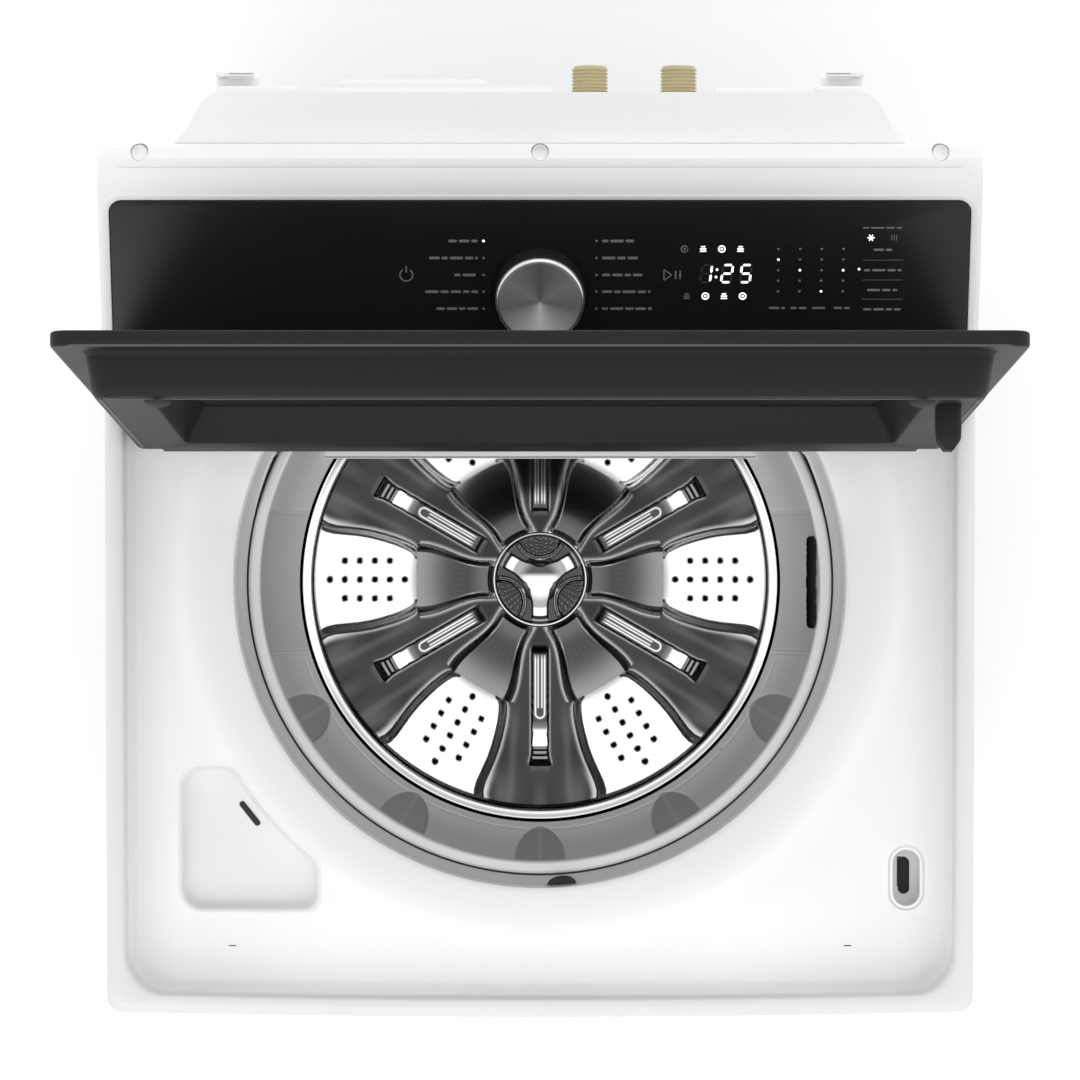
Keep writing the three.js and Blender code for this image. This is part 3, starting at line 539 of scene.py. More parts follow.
def mouth_row(radius, chord, height):
    """A row round the mouth, whose height depends on the place."""
    row = []
    for angle in ANGLES:
        reach = mouth_reach(radius, chord, angle)
        x, y = reach * cos(angle), reach * sin(angle)
        row.append((x, y, height(x, y)))
    return row


def between(first, second, height, steps):
    """Rows between two rows, at a height that depends on the place."""
    rows = []
    for k in range(1, steps):
        t = k / steps
        row = []
        for a, b in zip(first, second):
            x, y = blend(a[0], b[0], t), blend(a[1], b[1], t)
            row.append((x, y, height(x, y)))
        rows.append(row)
    return rows


def bleach_outline(grow):
    """The recess in the front left corner, whose inner side follows the drum."""
    left, right, front, back = -261.5 - grow, -165 + grow, -238 - grow, -136 + grow
    arc, corner = 264 - grow, 14 + grow
    first = -acos(right / arc)
    last = -pi + asin(-back / arc)
    places = []
    for middle, start, side in ((back, 90, -1), (front, 180, 1)):
        for k in range(9):
            a = radians(start + 90 * k / 8)
            places.append((left + corner * (1 + cos(a)), middle + side * corner * (1 + side * sin(a))))
    trim = 16 / arc
    turns = [first] + [blend(first - trim, last + trim, k / 24) for k in range(25)] + [last]
    places.append((right, front))
    places += [(arc * cos(a), arc * sin(a)) for a in turns]
    radii = {18: 12, 19: 9, 45: 20}
    return rounded(places, [radii.get(i, 0) for i in range(len(places))], 8, True)


def oval(x, y, across, along, steps=24):
    """An upright slot shape with round ends."""
    places = []
    for k in range(2 * steps):
        angle = TAU * k / (2 * steps)
        end = (along - across) * (1 if sin(angle) >= 0 else -1)
        places.append((x + across * cos(angle), y + across * sin(angle) + end))
    return places


def deck_painted_light(x, y, z):
    """Painted light and shade over the top cover: paler at the front where the light falls, darker towards
    the sides, a painted highlight band round the dip with painted shade inside it, and painted shade on the
    raised rim and the outer sides.
    """
    radius = hypot(x, y)
    value = blend(0.97, 1.07, ease(-y, 190, 275) * ease(260 - abs(x), 0, 130))
    value -= 0.035 * ease(abs(x), 262, 292)
    if radius < 300 and y < 90:
        value += 0.05 * bell(radius - 264, 6)
        value -= 0.03 * ease(256 - radius, 0, 14)
    # Painted shade on the raised rim, and on the outer sides below it.
    if z > shoulder(y) - 6:
        value = 0.78
    if z < shoulder(y) - 5 and (y < -312 or abs(x) > 312.4):
        value = 0.72
    return value


def build_deck():
    """The top cover: a raised rim, a sunk tray that dips to the mouth, and its two openings."""
    rows = [rim_row(0, 315, 10, z=RIM_LOW)]
    for key in ((0, 315, 10, 8), (0.4, 314.6, 10, 5.4), (1.5, 313.5, 11, 3.2), (3.4, 311.4, 12, 1.4),
                (5.8, 309, 14, 0.4), (8.5, 307, 16, 0), (12.2, 141.6, 25, 0.2), (13.4, 141.4, 27, 0.9),
                (14.5, 141.2, 29, 2.6), (15.2, 141, 30, 5.5), (16, 140.5, 32, 15), (17, 140, 33, 23),
                (18.6, 138.6, 34.2, 29), (20.6, 136.4, 35, 32.2), (23.4, 133.6, 35.6, 33.6),
                (27, 130.5, 36, 34)):
        rows.append(rim_row(*key))
    outer, inner = mouth_row(262, 122, tray_floor), mouth_row(MOUTH + 1.6, CHORD + 1.6, tray_floor)
    rows += between(rows[-1], outer, tray_floor, 6) + [outer]
    rows += between(outer, inner, tray_floor, 12) + [inner]
    for grow, drop in ((0.4, 0.5), (0, 1.6), (0, 3)):
        rows.append(mouth_row(MOUTH + grow, CHORD + grow, lambda x, y: tray_floor(x, y) - drop))
    rows.append(mouth_row(262, 122, lambda x, y: shoulder(y) - 37))
    for key in ((15, 142, 32, 37), (9, 145, 22, 6), (5, 311, 12, 5)):
        rows.append(rim_row(*key))
    rows.append(rim_row(3, 312, 8, z=RIM_LOW))
    deck = make("deck", *lofted(rows, closed=True), DECK, "cabinet", ("top_cover",), slot="white_plastic",
                tone=deck_painted_light)
    holes = [loose(*prism(outline, 880, 930)) for outline in (bleach_outline(4.5), oval(*LOCK, 13.6, 24.4))]
    # Dark strips on the tray floor that paint the shade of two thin slots.
    for x, name in ((-226, "left"), (226, "right")):
        mark = slab(box_outline(x - 2.8, x + 2.8, -267.4, -266.6, 0.3, 3), -0.02, 0.06, 0.02, 1)
        mark = carried(mark, lambda a, b, c: (a, b, tray_floor(a, b) + c))
        make("deck_slot_shade_" + name, *mark, SHADE, "cabinet", slot="white_plastic")
    recut(deck, holes, DECK, "cabinet")
    build_bleach_recess()
    rows = []
    for inset, depth in ((0, 0), (0.7, 0.15), (1.4, 0.7), (1.9, 1.6), (2.2, 3.4), (2.2, 6)):
        rows.append([(x, y, tray_floor(x, y) - depth) for x, y in oval(*LOCK, 13.6 - inset, 24.4 - inset)])
    make("lock_collar", *lofted(rows), "grey_plastic", "cabinet", tone=even(0.7))
    # A dark oval in the lock cup, painted shade for its slot.
    slot = slab(oval(*LOCK, 4.2, 13.6), 885.3, 885.8, 0.2, 2)
    make("lock_slot_shade", *slot, SHADE, "cabinet", slot="grey_plastic")


def build_bleach_recess():
    """A shallow pan, with a dark sheet of painted shade for the slot in its floor."""
    rows = []
    for grow, depth in ((4.5, 0), (3.4, 0.1), (2.4, 0.5), (1.6, 1.4), (1.1, 2.8), (0.6, 5), (-0.2, 8.5),
                        (-1.2, 11.6), (-2.4, 13), (-4, 13.8), (-6, 14)):
        t = ease(depth, 0, 14)
        rows.append([(x, y, tray_floor(x, y) * (1 - t) + tray_floor(-200, -200) * t - depth)
                     for x, y in bleach_outline(grow)])
    points, faces = lofted(rows)
    centre, count = len(points), len(rows[0])
    last = range(centre - count, centre)
    floor_z = rows[-1][0][2]
    points.append((-219, -196, floor_z))
    faces += [(last[i], last[(i + 1) % count], centre) for i in range(count)]
    # Painted shade: the recess's upper walls are a little darker than its floor.
    make("bleach_recess", points, faces, DECK, "cabinet", slot="white_plastic",
         tone=lambda x, y, z: 0.9 if z > 890 + 0.4 * (x + 165) / 100 else 0.97)
    cosine, sine = cos(atan2(-168.8, -211.8)), sin(atan2(-168.8, -211.8))
    slot = carried(slab(oval(0, 0, 2.2, 11), 0, 0.15, 0.07, 2),
                   lambda x, y, z: (-213.8 + x * cosine - y * sine, -170.4 + x * sine + y * cosine,
                                    floor_z + 0.5 + z))
    make("bleach_slot_shade", *slot, SHADE, "cabinet", slot="grey_plastic")


def even(value):
    """One shade over a whole piece."""
    return lambda *point: value


def build_throat_ring():
    """The ring inside the mouth, which steps up at the rear."""
    def top(extra):
        return lambda x, y: tray_floor(x, y) - 3.3 - extra

    def shelf(low):
        return lambda x, y: blend(low, RING_HIGH, ease(y, 40, 95))

    rows = [mouth_row(229, CHORD + 4, top(0))]
    rows += [mouth_row(MOUTH - inset, CHORD - cut, top(extra))
             for inset, cut, extra in ((0.2, 0.2, 0), (0.8, 0.6, 0.5), (1.4, 1.0, 1.8))]
    rows += [mouth_row(radius, CHORD - cut, shelf(RING_LOW + rise))
             for radius, cut, rise in ((219.2, 2.4, 4), (218, 2.8, 1), (217.4, 3, 0), (220.6, 0, 0))]
    ring = make("throat_ring", *lofted(rows, closed=True), "grey_plastic", "cabinet", ("throat_ring",),
                tone=even(0.66))
    recut(ring, [loose(*prism(box_outline(-112, 112, 90, 110, 0.5, 1), 896, 921))], "grey_plastic", "cabinet")


def build_half_moon():
    """A dark sheet of painted shade for the half-round inlet in the throat ring's front wall, its flat side
    up.
    """
    rows = []
    for k in range(13):
        t = k / 12
        half = 10.6 * sqrt(1 - t ** 2) if k < 12 else 0.4
        row = []
        for j in range(13):
            x = 16 + half * (j / 6 - 1)
            radius = blend(MOUTH - 1.2, 218.2, t) - 0.25
            row.append((x, -sqrt(radius ** 2 - x ** 2), blend(904, 881, t)))
        rows.append(row)
    points = [point for row in rows for point in row]
    starts = [13 * i + j for i in range(12) for j in range(12)]
    faces = [(k, k + 1, k + 14, k + 13) for k in starts]
    make("inlet_half_moon_shade", points, faces, SHADE, "cabinet", slot="grey_plastic")


LEAVES = [radians(a) for a in (-30, -60, -90, -120, -150)]


def leaf_depth(radius, angle):
    """How deep the tub cover's scoops are at a place, how far inside one it is, and its middle ridge."""
    for middle in LEAVES:
        turn = (angle - middle + pi) % TAU - pi
        across = abs(turn) * radius
        if across > 24 or not 183 < radius < 206.2:
            continue
        t = (radius - 183) / 23.2
        half = 19.5 * (1 - (1 - t) ** 2.1) ** 0.62
        edge = ease(half - across, 0, 1.6)
        return edge * (0.9 + 1.4 * min(across / 14, 1)), edge, 1 - ease(across, 0.6, 2.6)
    return 0.0, 0.0, 0.0


def side_turn(angle):
    """The turn from the nearer side of the machine, left or right."""
    return min(abs(angle), TAU - abs(angle), abs(abs(angle) - pi))


def in_jet_slot(radius, angle):
    x, y = radius * cos(angle), radius * sin(angle)
    return 198.5 < x < 205.2 and abs(y) < 34.5 - 3 * ((x - 201.8) / 3.4) ** 2


def cover_height(radius, angle):
    """The tub cover's top: a funnel with scoops, seams and a fine step, and a raised lip round it."""
    if radius <= 181:
        return 830 - ease(181 - radius, 0, 0.6) * 1.2
    if radius > COVER_LIP:
        return 879.5 + 2.5 * ease(radius, 206.6, 209)
    t = (radius - COVER_INNER) / COVER_WIDTH
    z = 830 + 49.5 * t ** 1.06 - leaf_depth(radius, angle)[0]
    turn = side_turn(angle)
    line = bell(turn * radius - 54.2, 0.6) + bell(turn * radius - 51.6, 0.6)
    step = ease(turn, radians(17.5), radians(18.5)) if sin(angle) < 0 else 0
    for gap in (-105.3, -43):
        step *= ease(abs(angle - radians(gap)), 0.004, 0.012)
    groove = bell(radius - 185.4, 0.5) * step
    if in_jet_slot(radius, angle):
        z -= 5
    return z - 0.9 * line - 0.9 * groove


def cover_painted_shade(radius, angle):
    """The tub cover's tone at a place, painted light and shade on grey plastic: darker up the funnel and on
    the flat side panels, painted shade in the scoops with a lighter middle ridge, near black in the jet slot,
    and the lip paler on top and darker down its outer side.
    """
    if radius > COVER_LIP:
        return blend(0.55, 0.86, ease(radius, COVER_LIP, 208.4)) - 0.2 * ease(radius, 213.5, 216)
    # Painted shade: the jet slot is near black.
    if in_jet_slot(radius, angle):
        return 0.006
    t = (radius - COVER_INNER) / COVER_WIDTH
    value = blend(0.68, 0.48, ease(t, 0.05, 0.8))
    if side_turn(angle) * radius < 53:
        value = blend(0.64, 0.4, t)
    # Painted shade in the scoops, with a painted highlight on the middle ridge.
    inside, ridge = leaf_depth(radius, angle)[1:]
    return blend(value, 0.3 + 0.05 * ridge, inside)


def build_tub_cover():
    """The grey ring that slopes down from the mouth to the basket."""
    def form(radius, angle):
        angle = angle - TAU if angle > pi else angle
        return cover_height(radius, angle), cover_painted_shade(radius, angle)

    sides = 1440
    radii = [180.5, 180.8, 181] + [COVER_INNER + COVER_WIDTH * k / 50 for k in range(1, 51)]
    radii += [207.4, 208.2, 209, 211, 213.6]
    top, tones = polar_rows(radii, sides, form)
    rows = [level(circle(radius, sides), z)
            for radius, z in ((213, 866), (209.5, 873), (206.5, 871.5), (183.5, 827.5))] + top
    for radius, z in ((214.8, 881.7), (215.7, 881), (216, 880), (216.2, 871), (220, 869), (274.5, 861),
                      (274.5, 848), (270, 848), (270, 857), (266, 858)):
        rows.append(level(circle(radius, sides), z))
        if radius < 216.1:
            tones.update((point, 0.72) for point in rows[-1])
    make("tub_cover", *lofted(rows, closed=True), "grey_plastic", "tub", ("tub_cover",), angle=30,
         tone=lambda *point: tones.get(point, 0.3))


def build_shelf():
    """The light straight shelf across the rear of the drum, under the lid's edge."""
    places = []
    last = asin(92.3 / 187.8)
    for k in range(41):
        angle = blend(last, pi - last, k / 40)
        places.append((187.8 * cos(angle), 187.8 * sin(angle)))
    outline = rounded(places, [2 if i in (0, 40) else 0 for i in range(41)], 4, True)
    make("rear_shelf", *slab(outline, 838, 842, 1.4, 4), "grey_plastic", "tub", tone=even(0.9))


build_deck()
build_throat_ring()
build_half_moon()
build_tub_cover()
build_shelf()


# --- basket, pulsator and hub ----------------------------------------------------------------------

def build_balance_ring():
    """The hollow ring on top of the basket. Its tone paints two highlight lines on the inner edge, lighter
    towards the left and right sides, and is near black outward of the edge, painted shade where the ring lies
    under the tub cover.
    """
    profile = rounded([(172, 768), (176, 762), (232, 762), (235, 766), (235, 806), (231, 812), (190, 812),
                       (188.5, 808), (180.6, 808), (179.6, 811.6)], 1.6, 4, True)
    profile += [(radius, 812) for radius in (178.9, 178.6, 178.2, 177.6, 176.5, 175.4, 174.6, 173.8)]
    profile += [(173, 811.7), (172.3, 810.6), (172, 808)]

    def shade(x, y, z):
        radius = hypot(x, y)
        side = side_turn(atan2(y, x))
        # Painted highlights: two lines on the inner edge, lighter towards the left and right sides; painted
        # shade, near black, outward of the edge.
        bright = bell(radius - 174.6, 0.8) + 0.9 * bell(radius - 178.4, 0.5)
        bright += ease(radians(34) - side, 0, radians(18))
        return blend(0.5, 1.0, min(bright, 1)) if radius < 179 else 0.02
    make("balance_ring", *lathed(profile, 360), "metallic_plastic", "basket", ("balance_ring",), tone=shade,
         slot="tub_plastic")


def build_basket():
    """A perforated drum with a rolled lip and two shallow swage rings."""
    sides = 288
    profile = []
    for k in range(119):
        z = 500 + 2.61 * k
        profile.append((236.8 - (1.1 * bell(z - 620, 5) + 1.1 * bell(z - 720, 5)), z))
    points, faces = lathed(profile, sides)
    kept = []
    for index, face in enumerate(faces):
        row, column = divmod(index, sides)
        in_band = 8 < row < 40 or 50 < row < 80 or 88 < row < 112
        hole = row % 6 == 3 and (column + (3 if (row // 6) % 2 else 0)) % 6 == 0
        if not (in_band and hole and column % 48 > 3):
            kept.append(face)
    drum = make("basket_drum", points, kept, "stainless_steel", "basket", ("basket_drum",))
    thick = drum.modifiers.new("wall", "SOLIDIFY")
    thick.thickness = 1.2 * MM
    thick.offset = 0
    baked(drum)
    lip = rounded([(235.6, 806), (235.6, 811), (237, 813.5), (240, 812), (238, 808), (238, 806)], 0.8, 3,
                  True)
    make("basket_lip", *lathed(lip, 288), "stainless_steel", "basket")


def valley_half(radius):
    """Half the width of a white valley at a distance from the axis."""
    keys = ((99, -8), (100.6, 13), (101.4, 18.5), (103, 22), (106, 24.6), (112, 27.6), (120, 30.8),
            (130, 33.8), (140, 36.4), (150, 38.2), (160, 39.2), (170, 40.2), (177, 42), (184, 46))
    if radius <= keys[0][0]:
        return -20
    for (r0, w0), (r1, w1) in zip(keys, keys[1:]):
        if radius <= r1:
            return blend(w0, w1, (radius - r0) / (r1 - r0))
    return keys[-1][1]


def sector(angle):
    """The nearest valley's turn, in radians, and the nearest arm's."""
    turn = (angle / (pi / 3)) % 1
    turn = turn - 1 if turn > 0.5 else turn
    valley = turn * pi / 3
    arm = valley - copysign(pi / 6, valley)
    return valley, arm


HOLE_ROWS = [(side, [first + 12.1 * k for k in range(count)])
             for side, first, count in ((-15.2, 121.4, 4), (0, 109.3, 6), (15.2, 121.4, 4))]


def hole_distance(along, across):
    """The distance to the nearest of a valley's fourteen holes, or 9 away from them all."""
    best = 9.0
    for side, places in HOLE_ROWS:
        if abs(across - side) > 4:
            continue
        for place in places:
            best = min(best, hypot(along - place, across - side))
    return best


def channel_half(radius):
    """Half the width of the grey channel that runs from a white valley in to the hub."""
    return blend(11.5, 25.5, ease(radius, 48, 101))


def pulsator_form(radius, angle):
    """The pulsator's height at a place, and its tone, which holds the colours of the dark arms and pearly
    valleys with painted light and shade laid over them.
    """
    valley, arm = sector(angle)
    across = abs(valley) * radius
    gap = across - (valley_half(radius) if radius > 101.2 else channel_half(radius))
    arm_height = blend(14, 12, ease(radius, 60, 120)) + 0.07 * max(radius - 115, 0)
    wall = ease(gap, -3.2, 4.2)
    dish = 4 * (1 - ease(radius, 52, 101)) + 9.7 * (1 - ease(radius, 39.4, 42))
    lift = 0.08 * max(radius - 100, 0)
    z = PULSATOR_FLOOR + max(wall * arm_height + (1 - wall) * lift, dish)
    # Painted reflections mottle the dark arms, with a painted highlight line along each arm.
    dark = 0.062 + 0.016 * sin(radius * 0.1) * cos(arm * radius * 0.13)
    dark += 0.05 * bell(abs(arm) * radius - 15 - 0.05 * radius, 3.2) * ease(radius, 96, 130)
    # Painted sheen on the outer flare, and painted highlights on the valley walls.
    flare = ease(radius, 150, 180)
    shade = dark + 0.05 * flare * max(0.0, cos(arm * radius * 0.2))
    shade += 0.22 * bell(gap - 5.2, 1.2) + 1.6 * bell(gap - 0.6, 2.8)
    shade += 0.5 * flare * bell(gap - 6.5, 2.2)
    # Painted light in the grey channel that runs from each valley in to the hub, mostly darker towards the
    # hub.
    if radius < 103:
        middle = blend(0.16, 0.08, ease(radius, 44, 60)) + 0.26 * ease(radius, 62, 101) ** 1.5
        middle += 0.02 * max(0.0, cos(angle * 90)) * bell(radius - 66, 5)
        shade = blend(shade, middle, 1 - ease(gap, -2.5, 1.5))
    # The white valleys, with painted shade greying them towards the hub.
    white = (1 - ease(across - valley_half(radius), -1.4, 1.0)) if radius > 97.5 else 0
    inner = ease(radius, 99, 107)
    value = blend(shade, blend(0.42, 1.0, inner), white)
    side = abs(arm) * radius
    rib = 0.0
    if 52 < radius < 154:
        half = 6.8 if radius < 140 else blend(6.8, 8.6, ease(radius, 140, 150))
        inside = ease(half - side, 0, 0.9)
        ends = ease(radius, 53, 60) * (1 - ease(radius, 146, 151))
        rib = 2.6 * inside * ends
        # A painted highlight line along each side of a rib.
        value += 0.3 * bell(side - half - 1.2, 0.6) * ends
        if inside > 0.4:
            value = 0.1
            loop = side if radius < 108 else hypot(side, radius - 108)
            if radius < 113:
                ring = bell(loop - 3.7, 0.6) + bell(loop - 1.5, 0.5) * (radius < 104)
                value += 1.1 * ring * ease(radius, 60, 64)
            value = blend(value, 0.3, ease(radius, 113, 122) * (1 - ease(radius, 124, 125)))
            value = blend(value, 1.2, ease(radius, 119, 123) * (1 - ease(radius, 133.5, 135)))
            value = blend(value, 0.32, ease(radius, 135, 136) * (1 - ease(radius, 150, 151)))
            # Painted shade at each step down the rib.
            for step_at in (137.5, 141.5, 145.5):
                value -= 0.2 * bell(radius - step_at, 0.6)
                rib -= 0.5 * ease(radius, step_at - 0.5, step_at + 0.5) * ends
    z += rib
    # Painted shade in the holes: each is a shallow dimple painted near black, inside a grey ring.
    near = hole_distance(radius * cos(valley), radius * sin(valley))
    if near < 5 and radius > 97:
        value = blend(value, 0.35, 1 - ease(near, 1.7, 3.8))
        value = blend(value, 0.004, 1 - ease(near, 1.3, 2.1))
        z -= 3.4 * (1 - ease(near, 0.9, 2.0))
    return z, max(value, 0.004)


def build_pulsator():
    """A wheel with six dark arms and six pearly valleys, each with fourteen holes."""
    # Painted shade: the outer skirt takes the rim's tone at 0.7.
    def side(fall):
        def form(radius, angle):
            z, value = pulsator_form(182.0, angle)
            return max(z - fall, 532), value * 0.7
        return form

    sides = 1260
    radii = [38 + 2.2 * k for k in range(24)] + [90.5 + 0.75 * k for k in range(123)]
    rows, tones = polar_rows([radius for radius in radii if radius < 182.3], sides, pulsator_form)
    for radius, fall in ((182.7, 0.8), (183, 2.4), (183, 10)):
        more, more_tones = polar_rows([radius], sides, side(fall))
        rows += more
        tones.update(more_tones)
    rows += [level(circle(radius, sides), z) for radius, z in ((183, 528), (20, 528), (20, 555))]
    wheel = make("pulsator", *lofted(rows, closed=True), "metallic_plastic", "pulsator", ("pulsator",),
                 angle=60, tone=lambda *point: tones.get(point, 0.05))
    wheel.data.materials.append(PEARL)
    for face in wheel.data.polygons:
        x, y = face.center.x / MM, face.center.y / MM - SHIFT
        radius = hypot(x, y)
        valley = sector(atan2(y, x) % TAU)[0]
        if 93 < radius < 183.2 and abs(valley) * radius < valley_half(radius) and face.center.z > 0.5375:
            face.material_index = 1


def hub_form(radius, angle):
    """The hub cap's height at a place, and its tone, which paints the reflections and shade on the chrome:
    lighter spokes, a painted highlight on the dome's front half and at the spokes' outer ends, lighter lines
    on the arched ridges, painted shade striped in the scoops and in the ring round the cap, and a painted
    highlight on its outer edge.
    """
    turn = min(abs((angle - radians(spoke_at) + pi) % TAU - pi) for spoke_at in (30, 150, 270))
    widening = ease(radius, 8, 22)
    spoke = 1 - ease(turn * radius, blend(9, 5.4, widening), blend(10.6, 6.8, widening))
    dome = 1 - ease(radius, 10, 19)
    z = HUB_FLOOR + 5.2 * max(spoke * (1 - ease(radius, 29.5, 32)), dome)
    value = blend(0.09, 0.55, spoke * 0.8)
    # Painted highlight on the dome's front half.
    lower = ease(6 - radius * sin(angle), 0, 5)
    value = blend(value, blend(0.12, 1.1, lower), dome)
    if spoke > 0.5 and 22 < radius < 30:
        value = blend(value, 1.2, ease(radius, 22, 24) * (1 - ease(radius, 28.6, 30)))
    scoop = pi / 3 - turn
    from_arch = hypot(radius * cos(scoop) - 37, radius * sin(scoop))
    for ring_radius, width in ((20.6, 0.55), (18.6, 0.45)):
        line = bell(from_arch - ring_radius, width)
        if radius < 34:
            z += line
            value = blend(value, 0.75, line)
    if from_arch < 17.6 and radius < 35:
        stripes = max(0.0, cos(from_arch * 2.6)) ** 3 * max(0.0, cos(angle * 45)) ** 0.5
        value = blend(0.06, 0.42, stripes)
        z -= 1.2 + 0.4 * stripes
    rim = ease(radius, 34.6, 36)
    z = blend(z, 563.6, rim)
    value = blend(value, 0.12, ease(radius, 32.5, 34) * (1 - rim))
    # Painted highlight on the cap's outer edge, with painted shade round it.
    if radius > 36:
        value = blend(0.14, 1.0, bell(radius - 37, 0.6))
        z -= 0.7 * ((radius - 37) / 1.4) ** 2
    return z, value


def build_hub():
    """A bright cap with three spokes, three arched ridges, and grooved scoops between them."""
    sides = 480
    rows, tones = polar_rows([0.01] + [0.5 * k for k in range(1, 77)], sides, hub_form)
    rows.append(level(circle(38.5, sides), 556.2))
    make("hub_cap", *lofted(rows), "metallic_plastic", "pulsator", ("hub_cap",), angle=60,
         tone=lambda *point: tones.get(point, 0.2), slot="chrome")


build_balance_ring()
build_basket()
build_pulsator()
build_hub()


# --- lid ------------------------------------------------------------------------------------------

def on_lid_cutter(outline, low, high):
    return loose(*prism(outline, low, high), place=on_lid)


def build_lid_frame():
    """The frame: a rim slab, a rounded bulge inside it, and a deep window recess."""
    rim = slab(box_outline(-HALF, HALF, -11, 420, 12), 10.6, 21.1, 2.2, 5)
    piece = make("lid_frame", *rim, "charcoal_plastic", "lid", ("lid_frame",), place=on_lid)
    bulge = []
    for inset, out, radius in ((0, 12, 13), (0, 10.7, 13), (2.2, 7.6, 14), (2.4, 6.4, 14), (3.4, 0, 16),
                               (5, -11, 18), (6.1, -15.5, 18), (8.2, -18.6, 18), (11.5, -19.8, 18),
                               (15, FACE, 18), (19, FACE, 18)):
        outline = box_outline(-298 + inset, 298 - inset, -4 + inset * 0.4, 397 - inset, radius)
        bulge.append(level(outline, out))
    carved(piece, [loose(*lofted(bulge, capped=True), place=on_lid)], "UNION")
    recess = []
    for grow, out, radius in ((2.4, FACE - 2, 12), (2.4, FACE - 0.01, 12), (1.2, FACE + 0.5, 11),
                              (0.4, FACE + 1.5, 10), (0, FACE + 3, 9.5), (-13, PANE + 0.4, 9)):
        low, high = (3, 7) if out > 0 else (0, 0)
        outline = box_outline(-252 - grow, 252 + grow, 65 - grow + low, 376 + grow + high, radius)
        recess.append(level(outline, out))
    cutters = [loose(*lofted(recess, capped=True), place=on_lid)]
    cutters.append(on_lid_cutter(box_outline(-246, 246, 58, 380, 10), PANE, 30))
    cutters.append(on_lid_cutter(box_outline(-292, 292, 8, 406, 14), 17.1, 30))
    for side in (-1, 1):
        inner, outer = sorted((side * 272.5, side * 300))
        cutters.append(on_lid_cutter(box_outline(inner, outer, -20, 22, 3, 4), FACE - 5, 10.5))
        inner, outer = sorted((side * 297, side * 330))
        cutters.append(on_lid_cutter(box_outline(inner, outer, -30, 12.5, 3, 4), 0, 40))
    cutters.append(on_lid_cutter(box_outline(264, 274, 325, 345, 2, 3), FACE - 5, FACE + 12))
    recut(piece, cutters, "charcoal_plastic", "lid", angle=28)


def build_lid():
    """The frame, its two dark panes, the striker, bumpers and hinge knuckles, and thin beads in a lighter
    charcoal that paint highlights along the rim's inner edge and the bulge's shoulder.
    """
    build_lid_frame()
    for name, plate in (("lid_glass", slab(box_outline(-291.7, 291.7, 8.3, 405.7, 13.7), 17.4, 21.1, 0.9, 3)),
                        ("lid_window", slab(box_outline(-245.7, 245.7, 58.3, 379.7, 9.7), 5.4, 9.3, 0.5, 2))):
        make(name, *plate, "black_glass", "lid", (name,), place=on_lid)
    peg = [level(moved_in(box_outline(261, 277, 320, 350, 5), inset), FACE - out)
           for inset, out in ((0, 0.3), (0, 14), (0.5, 22), (1.2, 24), (4.6, 28.6), (5.2, 29.3), (6.2, 29.5))]
    make("lid_striker", *lofted(peg, capped=True), "charcoal_plastic", "lid", ("lid_striker",), place=on_lid)
    bumper = [(radius, FACE - out) for radius, out in ((8.7, 0.3), (8.7, 1.5), (8.4, 2.3), (7.4, 3.2),
                                                       (5.6, 4.1), (3.2, 4.6), (0.05, 4.8))]
    for side, name in ((-1, "left"), (1, "right")):
        make("lid_bumper_" + name, *lathed(bumper, 64, (side * 248.7, 377)), "rubber", "lid",
             ("lid_bumper_" + name,), place=on_lid)
        x = side * 309
        knuckle = slab(box_outline(x - 3.6, x + 3.6, 109.6, 120.4, 1.6, 4), 956.5, 963, 1.0, 3)
        make("hinge_knuckle_" + name, *knuckle, "charcoal_plastic", "cabinet")
    # Painted highlights: thin beads in a lighter charcoal round the rim slab's inner edge, and along the
    # bulge's shoulder at its top and sides.
    outline = box_outline(1.4 - HALF, HALF - 1.4, -9.6, 418.6, 14)
    rows = [level(moved_in(outline, across), 11.7 + out) for across, out in circle(1.2, 8)]
    beads = [slab(box_outline(*sides, 0.9, 3), -20.4, -18.4, 0.7, 3)
             for sides in ((-284, 284, 383.4, 385.4), (-286.3, -284.3, 40, 380), (284.3, 286.3, 40, 380))]
    for name, shape in (("lid_bead", lofted(rows, closed=True)), ("lid_bead_inner", joined(*beads))):
        make(name, *shape, LID_HIGHLIGHT, "lid", place=on_lid, slot="charcoal_plastic")
    strip = slab(box_outline(-250, 250, -6, -3.4, 0.8, 4), FACE + 1.5, FACE + 9, 0.5, 2)
    make("lid_drip_strip", *strip, "charcoal_plastic", "lid", place=on_lid)


build_lid()


# --- console --------------------------------------------------------------------------------------

def build_console():
    """The housing with its rear groove, and three screw caps in their bowls."""
    cutters = [loose(*slab(box_outline(-300, 300, 296.2, 297.0, 0.3, 1), 1019.3, 1030, 0.1, 1))]
    cutters += [loose(*prism(circle(5.9, 40, x, SCREW_Y), 1014.5, 1030)) for _, x in SCREW_PLACES]
    from_cad("console_housing", "white_plastic", "cabinet", cutters, 2.6, 4)
    profile = [(5.7, 1014.6), (5.7, 1016.4), (5.2, 1017), (4.2, 1016.2), (3.6, 1015.8), (0.05, 1015.6)]
    for name, x in SCREW_PLACES:
        make("screw_cap_" + name, *lathed(profile, 48, (x, SCREW_Y)), "white_plastic", "cabinet",
             ("screw_cap_" + name,))


